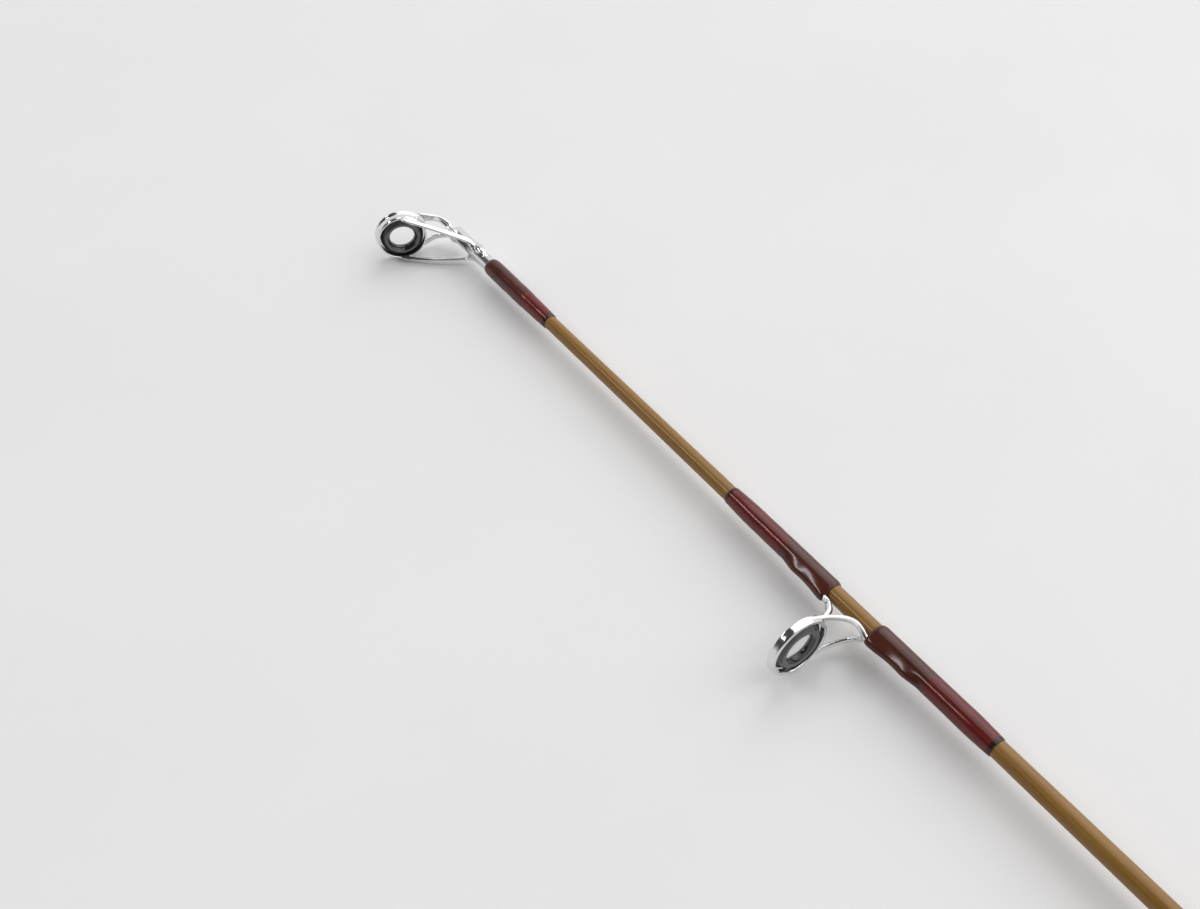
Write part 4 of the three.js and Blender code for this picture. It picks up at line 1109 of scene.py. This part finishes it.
def seat():
    """The seat's tube, with the thread that the lock nut runs on."""
    span = Span("reel_seat")
    thread_start, thread_end = Span("lock_nut").start - 1, span.end - 2.5

    def swell(along, turn, radius):
        phase = (along / THREAD_PITCH - turn / TAU) % 1
        ridge = np.abs(phase * 2 - 1)
        fade = np.clip((along - thread_start) / 1.5, 0, 1) * np.clip((thread_end - along) / 1.5, 0, 1)
        return np.where(radius > span.radius - 1, -0.42 * ridge * fade, 0)

    profile = divided(rounded(sleeve(span.start, span.end, 4.6, span.radius), 0.5), 0.3)
    shape = turned(profile, 96, swell=swell)
    piece("reel_seat", shape, "butt_section", SEAT_PLASTIC, "reel_seat", smooth_angle=50)


def hood(node, body, mouth, toward):
    """A hood that bulges over the reel's foot on the guide side and hugs the seat elsewhere. mouth is
    its open end, and toward is -1 or 1, from there to its closed end."""
    seat_radius = Span("reel_seat").radius
    inner, snug, brim = seat_radius + 0.3, seat_radius + 1.4, Span(node).radius
    profile = [
        (mouth, brim - 0.8), (mouth + toward * HOOD_TAPER, inner),
        (mouth + toward * HOOD_LENGTH, inner), (mouth + toward * HOOD_LENGTH, snug),
        (mouth + toward * (HOOD_TAPER + 1), snug + 0.3), (mouth + toward * 1.2, brim - 0.1),
        (mouth, brim), (mouth, brim - 0.8),
    ]

    def swell(along, turn, radius):
        turn = np.abs((turn + math.pi) % TAU - math.pi)
        closing = eased(np.clip((turn - HOOD_OPEN) / HOOD_CLOSING, 0, 1))
        is_inner = radius < brim - 0.75
        tight = np.where(is_inner, np.minimum(radius, inner + 0.05), snug)
        tight = np.where(is_inner & (radius > snug - 0.05) & (np.abs(along - mouth) > 1), snug, tight)
        return closing * (tight - radius)

    shape = turned(divided(rounded(profile, 0.35), 0.5), 128, swell=swell)
    piece(node, shape, body, SEAT_CHROME, node)


def lock_nut():
    span = Span("lock_nut")
    bore = Span("reel_seat").radius + 0.3
    profile = sleeve(span.start, span.end, bore, span.radius)

    def swell(along, turn, radius):
        middle = np.abs(along - span.middle[0]) < span.length / 2 - 1.3
        ridges = 0.5 - 0.5 * np.cos(NUT_RIDGES * turn)
        return np.where(middle & (radius > span.radius - 0.2), -0.4 * ridges**2, 0)

    shape = turned(divided(rounded(profile, 0.9), 0.3), 8 * NUT_RIDGES, swell=swell)
    piece("lock_nut", shape, "lock_nut", SEAT_CHROME, "lock_nut")


def winding_check():
    span = Span("winding_check")
    bore = 4
    profile = [
        (span.start, bore), (span.end, bore), (span.end, bore + 0.7), (span.end - 1.4, bore + 1.2),
        (span.end - 1.7, bore + 2.0), (span.start + 1.4, span.radius), (span.start, span.radius),
        (span.start, bore),
    ]
    piece("winding_check", turned(rounded(profile, 0.35), 96), "butt_section", SEAT_CHROME, "winding_check")


butt_cap()
cork_grip("rear_grip", 10)
cork_grip("fore_grip", 9)
seat()
hood("fixed_hood", "butt_section", Span("fixed_hood").end, -1)
hood("sliding_hood", "sliding_hood", Span("sliding_hood").start, 1)
lock_nut()
winding_check()

# ---- reel: places ----
# The reel is built about the point where its main shaft passes the drive gear's axis.

gear_place, shaft_place = joint_place("handle_turn"), joint_place("rotor_turn")
REEL = np.array([gear_place[0], shaft_place[1], 0])
GEAR_OFFSET = gear_place[1] - shaft_place[1]
SHAFT_DROP = REEL[1]
cover = Span("side_cover")
HOUSING_RADIUS = cover.length / 2
COVER_FACE_Z = cover.high[2] + 0.3
REEL_FOOT_START, REEL_FOOT_END = -17, 47
STEM_HALF_WIDTH = 4.6
LEVER_UP = 4  # from the gear's axis to the anti-reverse lever's


def reel_piece(name, shape, body, look, *nodes, smooth_angle=None):
    return piece(name, moved(shape, REEL), body, look, *(nodes or (name,)), smooth_angle=smooth_angle)


def about_gear(shape):
    return moved(shape, (0, GEAR_OFFSET, 0))


def curved_plate(outline, inner, outer, turn, steps=16):
    """A plate that follows a cylinder about X. outline is (x, half width); inner and outer are its
    radii, and turn is where its middle lies, in degrees from +Y towards +Z."""
    rows = []
    points = []
    for x, half_width, *thin in outline:
        top = outer - (thin[0] if thin else 0)
        ring = []
        for radius, order in ((inner, 1), (top, -1)):
            for k in range(steps + 1)[::order]:
                across = half_width * (2 * k / steps - 1)
                angle = math.radians(turn) + math.asin(clamp(across / radius, -1, 1))
                ring.append(len(points))
                points.append((x, radius * math.cos(angle), radius * math.sin(angle)))
        rows.append(ring)
    count = len(rows[0])
    faces = [tuple(rows[0]), tuple(rows[-1][::-1])]
    for low, high in zip(rows, rows[1:]):
        for i in range(count):
            j = (i + 1) % count
            faces.append((low[i], low[j], high[j], high[i]))
    return closed(points, faces)


# ---- reel: body ----


def reel_body():
    half = -COVER_FACE_Z
    profile = [
        (-half, 0), (-half, HOUSING_RADIUS), (half - 6, HOUSING_RADIUS),
        (half - 2, HOUSING_RADIUS - 1.6),
    ]
    profile += [(half, HOUSING_RADIUS - 6), (half + 2.5, 8), (half + 2.5, 0)]
    housing = turned(rounded(profile, 2.2), 128, "Z")
    collar = turned(rounded([(2, 0), (2, 14.5), (26, 13.4), (33.5, 12.6), (33.5, 0)], 1.2), 96)
    stem_outline = [(-13, -8)]
    stem_outline += bezier((-13, -8), (-4, -24), (6, -30), (5, -42))
    stem_outline += bezier((5, -42), (4.6, -50), (0, -54), (-8, -57.6))
    stem_outline += [(38, -57.6)]
    stem_outline += bezier((38, -57.6), (27, -54), (22, -50), (21, -42))
    stem_outline += bezier((21, -42), (20, -30), (22, -22), (28, -8))
    stem = slab(stem_outline, -STEM_HALF_WIDTH, STEM_HALF_WIDTH, 1.9)
    seat_fit = Span("reel_seat").radius + 0.35
    foot = []
    for x in np.linspace(REEL_FOOT_START, REEL_FOOT_END, 33):
        end_share = clamp(min(x - REEL_FOOT_START, REEL_FOOT_END - x) / 11)
        foot.append((x, 4 + 3.4 * end_share, 1.75 * (1 - end_share)))
    foot_plate = moved(curved_plate(foot, seat_fit, seat_fit + 2.5, 0), (0, -SHAFT_DROP, 0))
    cavity = about_gear(turned(pin(-half - 1, half - 2.6, 19.4), 96, "Z"))
    shaft_bore = turned(pin(0, 34.5, 5), 48)
    bearing_seat = turned(pin(23.7, 34.5, 8.3), 64)
    gear_bore = about_gear(turned(pin(0, half + 4, 3.5), 48, "Z"))
    left_seat = about_gear(turned(pin(0, half + 0.2, 6.4), 64, "Z"))
    barrel = turned(pin(REEL_FOOT_START - 5, REEL_FOOT_END + 5, seat_fit), 128)
    barrel = moved(barrel, (0, -SHAFT_DROP, 0))
    lever_hole = moved(turned(pin(-24, -17, 1.8), 32), (0, GEAR_OFFSET + LEVER_UP, 0))
    ring_groove = about_gear(turned(rounded(sleeve(half + 0.4, half + 4, 11.6, 12.2), 0.1), 96, "Z"))
    holes = [cavity, shaft_bore, bearing_seat, gear_bore, left_seat, barrel, lever_hole, ring_groove]
    shape = melted([about_gear(housing), collar, stem, foot_plate], 0.42, 6, without=holes)
    reel_piece("reel_body", shape, "butt_section", REEL_PAINT)


SCREW_TURNS = (90, 210, 330)
SCREW_CIRCLE = 17.5


def on_screw_circle(shape, turn):
    x = SCREW_CIRCLE * math.cos(math.radians(turn))
    y = GEAR_OFFSET + SCREW_CIRCLE * math.sin(math.radians(turn))
    return moved(shape, (x, y, 0))


def side_cover():
    z = COVER_FACE_Z - 0.3
    profile = [(z, 0), (z, HOUSING_RADIUS), (z - 1.6, HOUSING_RADIUS), (z - 3.2, HOUSING_RADIUS - 2.4)]
    profile += [(z - 3.7, 13.2), (z - 3.2, 12.8), (z - 3.2, 12.0), (z - 3.9, 11.6), (z - 4, 10), (z - 4, 0)]
    cover_shape = about_gear(turned(divided(rounded(profile, 0.7), 1), 128, "Z"))
    seats = [on_screw_circle(turned(pin(z - 6, z + 1, 1.35), 32, "Z"), turn) for turn in SCREW_TURNS]
    bearing_seat = about_gear(turned(pin(z - 2.4, z + 1, 6.4), 48, "Z"))
    shape = melted([cover_shape], 0.3, 3, without=[*seats, bearing_seat])
    reel_piece("side_cover", shape, "butt_section", REEL_PAINT)


def slotted_screw(head_radius, shank_radius, head, tip, slot_width=0.45):
    """A screw along Z: head is where its face lies and tip where its shank ends."""
    way = 1 if tip > head else -1
    profile = [
        (head, 0), (head, head_radius), (head + way * 1.1, head_radius),
        (head + way * 1.1, shank_radius), (tip, shank_radius), (tip, 0),
    ]
    screw = turned(rounded(profile, 0.3), 48, "Z")
    reach, half = head_radius * 1.3, slot_width / 2
    low, high = sorted((head - way, head + way * 0.6))
    slot = slab([(-reach, -half), (reach, -half), (reach, half), (-reach, half)], low, high, 0.01)
    return worked(screw, cut_by(slot))


def cover_screws():
    head = COVER_FACE_Z - 0.3 - 4.1
    for i, turn in enumerate(SCREW_TURNS):
        screw = rotated(slotted_screw(1.2, 1.15, head, head + 3.4), 25 + 70 * i, Z)
        screw = on_screw_circle(screw, turn)
        reel_piece(f"cover_screw_{i + 1}", screw, "butt_section", STEEL, smooth_angle=40)


def anti_reverse_lever():
    axle = turned(rounded(pin(-24.4, -19.6, 1.4), 0.3), 32)
    tab = bar([(-24.85, -2, 0), (-24.85, 3.5, 0), (-25, 9, 0)], [2, 1.9, 1.7], [1.6, 1.5, 1.2], squareness=4)
    ribs = [ball((-26.3, y, 0), (0.5, 0.32, 1.5)) for y in (5.4, 6.8, 8.2)]
    shape = moved(melted([axle, tab, *ribs], 0.2, 2), (0, GEAR_OFFSET + LEVER_UP, 0))
    reel_piece("anti_reverse_lever", shape, "anti_reverse_lever", BLACK_PLASTIC)


reel_body()
side_cover()
cover_screws()
anti_reverse_lever()

# ---- reel: rotor and bail ----

PIVOT = joint_place("bail_flip") - REEL
PIVOT_X = PIVOT[0]
ROLLER = joint_place("line_roller_spin") - REEL
to_roller = (ROLLER - PIVOT) * (1, 0, 1)
ROLLER_REACH = np.linalg.norm(to_roller)
AHEAD = unit(to_roller)
ASIDE = np.cross(AHEAD, Y)
HUB_INNER = Span("bail_lever").low[1] - SHAFT_DROP
HUB_OUTER = Span("bail_lever").high[1] - SHAFT_DROP


def rotor():
    profile = [(37, 3.6), (45, 3.6), (45, 6.4), (39.6, 7.4), (39.6, 20), (43, 22.2), (55, 22.2), (55, 24)]
    profile += [(42, 24), (31, 18.6), (31, 17.2), (36.6, 20), (37, 15), (37, 3.6)]
    cup = turned(rounded(profile, 0.9), 160)
    arm = [(40 + 2 * i, 12 - 5.2 * eased(clamp(i / 12))) for i in range(17)]
    arm += [(PIVOT_X + 6.8 * math.sin(a), 6.8 * math.cos(a)) for a in np.radians([10, 25, 40, 55, 70, 82])]
    arms = [curved_plate(arm, 22.7, 26.6, turn) for turn in (0, 180)]
    belt = turned(rounded(sleeve(46, 48.5, 23.6, 24.0), 0.2), 160)
    shape = melted([cup, *arms, belt], 0.34, 5)
    reel_piece("rotor", shape, "rotor", REEL_PAINT)


def bail_plate(reach, hub, end, low, high):
    """A lever from the pivots out towards the roller, between two Y places, with rounded edges."""
    outline = arc((0, 0), hub, 100, 260, 20) + arc((reach, 0), end, -85, 85, 16)
    shape = slab(outline, low, high, 0.9)
    local = np.array([AHEAD, ASIDE, Y])
    return closed(shape[0] @ local + (PIVOT_X, 0, 0), shape[1])


def bail_point(reach, y):
    return tuple(np.array([PIVOT_X, y, 0]) + AHEAD * reach)


BAIL_REACH = 36
BAIL_SPREAD = 27.4
LEVER_REACH = 8
BOSS_Y = ROLLER[1] + 3
WIRE_RADIUS = 0.98


def at_roller(shape):
    return moved(shape, (PIVOT_X + AHEAD[0] * ROLLER_REACH, 0, AHEAD[2] * ROLLER_REACH))


def bail():
    hole = at_roller(turned(pin(-HUB_OUTER - 1, -HUB_INNER + 1, 1.35), 32, "Y"))
    hub = moved(turned(rounded(pin(-HUB_OUTER, -HUB_OUTER + 2, 4.4), 0.3), 64, "Y"), (PIVOT_X, 0, 0))
    arm = melted([bail_plate(ROLLER_REACH, 6.5, 3.4, -HUB_OUTER, -HUB_INNER), hub], 0.22, 3, without=[hole])
    reel_piece("bail_arm", arm, "bail", ALUMINIUM)
    lever = melted([bail_plate(LEVER_REACH, 6.5, 3, HUB_INNER, HUB_OUTER)], 0.22, 3)
    reel_piece("bail_lever", lever, "bail", ALUMINIUM)
    points = [bail_point(LEVER_REACH + 3.4, (HUB_INNER + HUB_OUTER) / 2)]
    points += [bail_point(15.5, 28), bail_point(20.5, 25.4)]
    for turn in np.radians(np.linspace(45, 128, 9)):
        points.append(bail_point(BAIL_REACH * math.sin(turn), BAIL_SPREAD * math.cos(turn)))
    points.append(bail_point(ROLLER_REACH + 1, BOSS_Y + 1.2))
    wire = bar(points, WIRE_RADIUS, WIRE_RADIUS, flat=ASIDE, steps=10)
    profile = [(BOSS_Y - 0.6, 0), (BOSS_Y - 0.6, 2.7), (BOSS_Y + 2.4, 1.3), (BOSS_Y + 2.4, 0)]
    boss = at_roller(turned(rounded(profile, 0.4), 48, "Y"))
    screw_hole = at_roller(turned(pin(BOSS_Y - 2, BOSS_Y + 1.4, 1.3), 32, "Y"))
    shape = melted([wire, boss], 0.2, 3, without=[screw_hole])
    reel_piece("bail_wire", shape, "bail", BAIL_CHROME)
    groove = [
        (ROLLER[1] - 2.3, 1.35), (ROLLER[1] + 2.1, 1.35), (ROLLER[1] + 2.1, 3.1),
        (ROLLER[1] + 1.2, 2.9), (ROLLER[1], 2.3), (ROLLER[1] - 1.4, 2.9), (ROLLER[1] - 2.3, 3.1),
        (ROLLER[1] - 2.3, 1.35),
    ]
    roller = turned(rounded(groove, 0.5), 96, "Y")
    reel_piece("line_roller", at_roller(roller), "line_roller", BAIL_CHROME)
    head, tip = -HUB_OUTER - 1.6, BOSS_Y + 1.1
    screw = slotted_screw(2.35, 1.05, head, tip, 0.6)
    standing = closed(screw[0][:, [0, 2, 1]], screw[1])
    reel_piece("roller_screw", at_roller(standing), "bail", STEEL, smooth_angle=40)


rotor()
bail()

# ---- reel: spool and drag ----


def spool():
    profile = [
        (64, 2.3), (64, 19.4), (54, 19.4), (54, 20.9), (58, 20.9), (58.4, 20.4), (59.4, 20.4),
        (59.8, 20.9), (65.4, 20.9), (66, 20.2), (66, 13.5), (78.6, 13.5), (79.4, 20.2), (81.2, 21.5),
        (83, 21.2), (83.6, 19.6), (83.2, 15), (83, 11.9), (70.6, 11.5), (70.6, 2.3), (64, 2.3),
    ]
    shape = turned(divided(rounded(profile, 0.55), 0.8), 160)
    reel_piece("spool", shape, "spool", ALUMINIUM)


def drag_knob():
    profile = [
        (76.4, 2.1), (76.4, 10.7), (83.4, 10.7), (84.2, 13), (88.6, 13), (89.6, 12), (90.2, 9),
        (90.2, 0), (87, 0), (87, 2.1), (76.4, 2.1),
    ]

    def swell(along, turn, radius):
        return np.where(radius > 12.5, -0.45 * (0.5 - 0.5 * np.cos(32 * turn)) ** 2, 0)

    disc = turned(divided(rounded(profile, 0.7), 0.5), 256, swell=swell)
    grip = bar([(90.6, -9.4, 0), (90.6, 0, 0), (90.6, 9.4, 0)], [2.2, 1.9, 2.2], 2.3, squareness=3.5)
    reel_piece("drag_knob", melted([disc, grip], 0.24, 2), "drag_knob", BLACK_PLASTIC)


spool()
drag_knob()

# ---- reel: crank ----

KNOB = joint_place("handle_knob_spin") - REEL
ARM_LENGTH = np.linalg.norm((KNOB - (0, GEAR_OFFSET, 0))[:2])
ARM_TURN = math.degrees(math.atan2(KNOB[1] - GEAR_OFFSET, KNOB[0]))
ARM_Z = 29


def handle_arm():
    """A flat crank arm with a waist, its hub over the axle, and the spindle that the knob spins on."""
    outline = arc((0, 0), 4.6, 110, 250, 12)
    outline += bezier((-1.6, -4.3), (12, -3.4), (16, -2.9), (ARM_LENGTH * 0.5, -2.9), 6)
    outline += bezier((ARM_LENGTH * 0.5, -2.9), (30, -2.9), (36, -4.2), (ARM_LENGTH, -4.3), 6)
    outline += arc((ARM_LENGTH, 0), 4.3, -80, 80, 12)
    outline += bezier((ARM_LENGTH, 4.3), (36, 4.2), (30, 2.9), (ARM_LENGTH * 0.5, 2.9), 6)
    arm = slab(outline, ARM_Z, ARM_Z + 3.6, 1.2)
    profile = [(ARM_Z - 5, 3.5), (ARM_Z - 5, 5.2), (ARM_Z, 6.4), (ARM_Z + 4.4, 6.4), (ARM_Z + 5.6, 4.6)]
    profile += [(ARM_Z + 5.6, 0), (ARM_Z + 0.3, 0), (ARM_Z + 0.3, 3.5), (ARM_Z - 5, 3.5)]
    hub = turned(rounded(profile, 0.6), 96, "Z")
    spindle = moved(turned(rounded(pin(ARM_Z + 2, ARM_Z + 29, 1.8), 0.3), 48, "Z"), (ARM_LENGTH, 0, 0))
    open_end = turned(pin(ARM_Z - 6, ARM_Z + 0.3, 3.5), 64, "Z")
    shape = melted([arm, hub, spindle], 0.26, 3, without=[open_end])
    reel_piece("handle_arm", about_gear(rotated(shape, ARM_TURN, Z)), "crank", ALUMINIUM)


def handle_knob():
    profile = [
        (0, 2.1), (0, 5.4), (2, 6.2), (8, 5.6), (16, 7.6), (24, 8.6), (29, 7.6), (31.5, 4.4), (32, 0),
        (25.4, 0), (25.4, 2.1), (0, 2.1),
    ]
    smooth = smooth_path([(z, r, 0) for z, r in profile[1:9]], 8)
    skin = [(0, 2.1)] + [(float(p[0]), max(0.0, float(p[1]))) for p in smooth]
    skin[-1] = (32, 0)
    closed_profile = skin + profile[9:]

    def swell(along, turn, radius):
        flute = 0.5 - 0.5 * np.cos(10 * turn)
        reach = np.exp(-(((along - 17) / 8) ** 2))
        return np.where(radius > 4.5, -0.55 * flute**2 * reach, 0)

    shape = turned(divided(closed_profile, 0.6), 160, "Z", swell=swell)
    reel_piece("handle_knob", moved(shape, (*KNOB[:2], ARM_Z + 4.2)), "handle_knob", BLACK_PLASTIC)


handle_arm()
handle_knob()

# ---- CAD pieces that keep their shape ----

KEPT = {
    "pinion_bearing": STEEL,
    "gear_bearing_left": STEEL,
    "gear_bearing_right": STEEL,
    "rotor_nut": STEEL,
    "main_shaft": STEEL,
    "pinion_gear": BRASS,
    "drive_gear": BRASS,
    "oscillation_slider": BRASS,
    "drag_washers": BLACK_PLASTIC,
}


def keep(node, look):
    made = frame["nodes"][node]
    made.data.materials.clear()
    made.data.materials.append(look[0])
    bevel = made.modifiers.new("edges", "BEVEL")
    bevel.width = 0.15 * MM
    bevel.segments = 2
    bevel.limit_method = "ANGLE"
    bevel.angle_limit = math.radians(40)


for node, look in KEPT.items():
    keep(node, look)

# ---- camera, floor and light ----

CAMERA_PLACE = (-200.49, 131.89, 181.72)  # from where the rod's axis leaves the tip-top's winding
CAMERA_RIGHT = (-0.5852, -0.8087, 0.0593)
CAMERA_DOWN = (-0.5889, 0.3736, -0.7167)
LENS = 45.5


def make_camera():
    camera = bpy.data.objects.new("camera", bpy.data.cameras.new("camera"))
    camera.data.lens = LENS
    camera.data.clip_start = 0.005
    camera.data.clip_end = 50
    right = unit(CAMERA_RIGHT)
    up = unit(-np.array(CAMERA_DOWN) + (np.array(CAMERA_DOWN) @ right) * right)
    axes = TURN @ np.column_stack([right, up, np.cross(right, up)])
    tip_x = Span("tip_top_winding").end
    place = Matrix(axes.tolist()).to_4x4()
    place.translation = Vector(to_row(np.array([tip_x, 0, 0]) + CAMERA_PLACE))
    camera.matrix_world = place
    bpy.context.scene.collection.objects.link(camera)
    bpy.context.scene.camera = camera


FLOOR_SIZE = 8.0  # metres
FLOOR_STEPS = 64


def make_floor():
    side = np.linspace(-FLOOR_SIZE / 2, FLOOR_SIZE / 2, FLOOR_STEPS + 1)
    points = np.array([(x, y, 0) for x in side for y in side])
    starts = [i * len(side) + j for i in range(FLOOR_STEPS) for j in range(FLOOR_STEPS)]
    faces = [(k, k + len(side), k + len(side) + 1, k + 1) for k in starts]
    mesh = blender_mesh("floor", (points, faces))
    floor = bpy.data.objects.new("floor", mesh)
    bpy.context.scene.collection.objects.link(floor)
    f = Finish("floor", (0.86, 0.855, 0.855), Roughness=0.6, Specular_IOR_Level=0.3)
    f.colour(f.ramp(f.noise(60, 4), [(0.3, (0.79, 0.785, 0.785)), (0.7, (0.81, 0.807, 0.806))]))
    mesh.materials.append(f.material)


def area_light(name, place, aim, size, power):
    light = bpy.data.lights.new(name, "AREA")
    light.shape = "RECTANGLE"
    light.size, light.size_y = size
    light.energy = power
    made = bpy.data.objects.new(name, light)
    made.location = place
    made.rotation_euler = (Vector(aim) - Vector(place)).to_track_quat("-Z", "Y").to_euler()
    bpy.context.scene.collection.objects.link(made)


WORLD_BRIGHT = 0.92
WORLD_DARK = 0.07
DARK_CORE = 40  # degrees from the direction that the rod's near side faces
DARK_EDGE = 70
LIGHT_AIM = 50  # how far behind the tip-top's winding the lights point
LIGHTS = {
    "soft_lamp": ((-0.1, -0.9, 1.3), (2.4, 2.4), 26),
    "strip": ((0.85, 0.9, 1.4), (0.9, 0.12), 5),
}  # place from where they point and sizes in metres, then power in watts


def make_light():
    """Even light all round, darker in the part of the room that the rod's near side faces, with a large
    soft lamp on one side of the rod and a weak strip on the other."""
    world = bpy.data.worlds.new("studio")
    world.use_nodes = True
    tree = world.node_tree
    background = tree.nodes["Background"]
    background.inputs["Color"].default_value = (1.0, 0.995, 1.0, 1)
    tip = Vector(to_row(np.array([Span("tip_top_winding").end - LIGHT_AIM, 0, 0])))
    toward_camera = bpy.context.scene.camera.matrix_world.translation - tip
    along = Vector(ROD_X)
    square_on = (toward_camera - toward_camera.dot(along) * along).normalized()
    direction = tree.nodes.new("ShaderNodeTexCoord")
    facing = tree.nodes.new("ShaderNodeVectorMath")
    facing.operation = "DOT_PRODUCT"
    facing.inputs[1].default_value = square_on
    tree.links.new(direction.outputs["Generated"], facing.inputs[0])
    shade = tree.nodes.new("ShaderNodeMapRange")
    shade.interpolation_type = "SMOOTHSTEP"
    for socket, value in {
        "From Min": math.cos(math.radians(DARK_EDGE)),
        "From Max": math.cos(math.radians(DARK_CORE)),
        "To Min": WORLD_BRIGHT,
        "To Max": WORLD_DARK,
    }.items():
        shade.inputs[socket].default_value = value
    tree.links.new(facing.outputs["Value"], shade.inputs["Value"])
    tree.links.new(shade.outputs["Result"], background.inputs["Strength"])
    bpy.context.scene.world = world
    for name, (place, size, power) in LIGHTS.items():
        area_light(name, tip + Vector(place), tip, size, power)


make_camera()
make_floor()
make_light()
bpy.context.scene.view_settings.view_transform = "Standard"
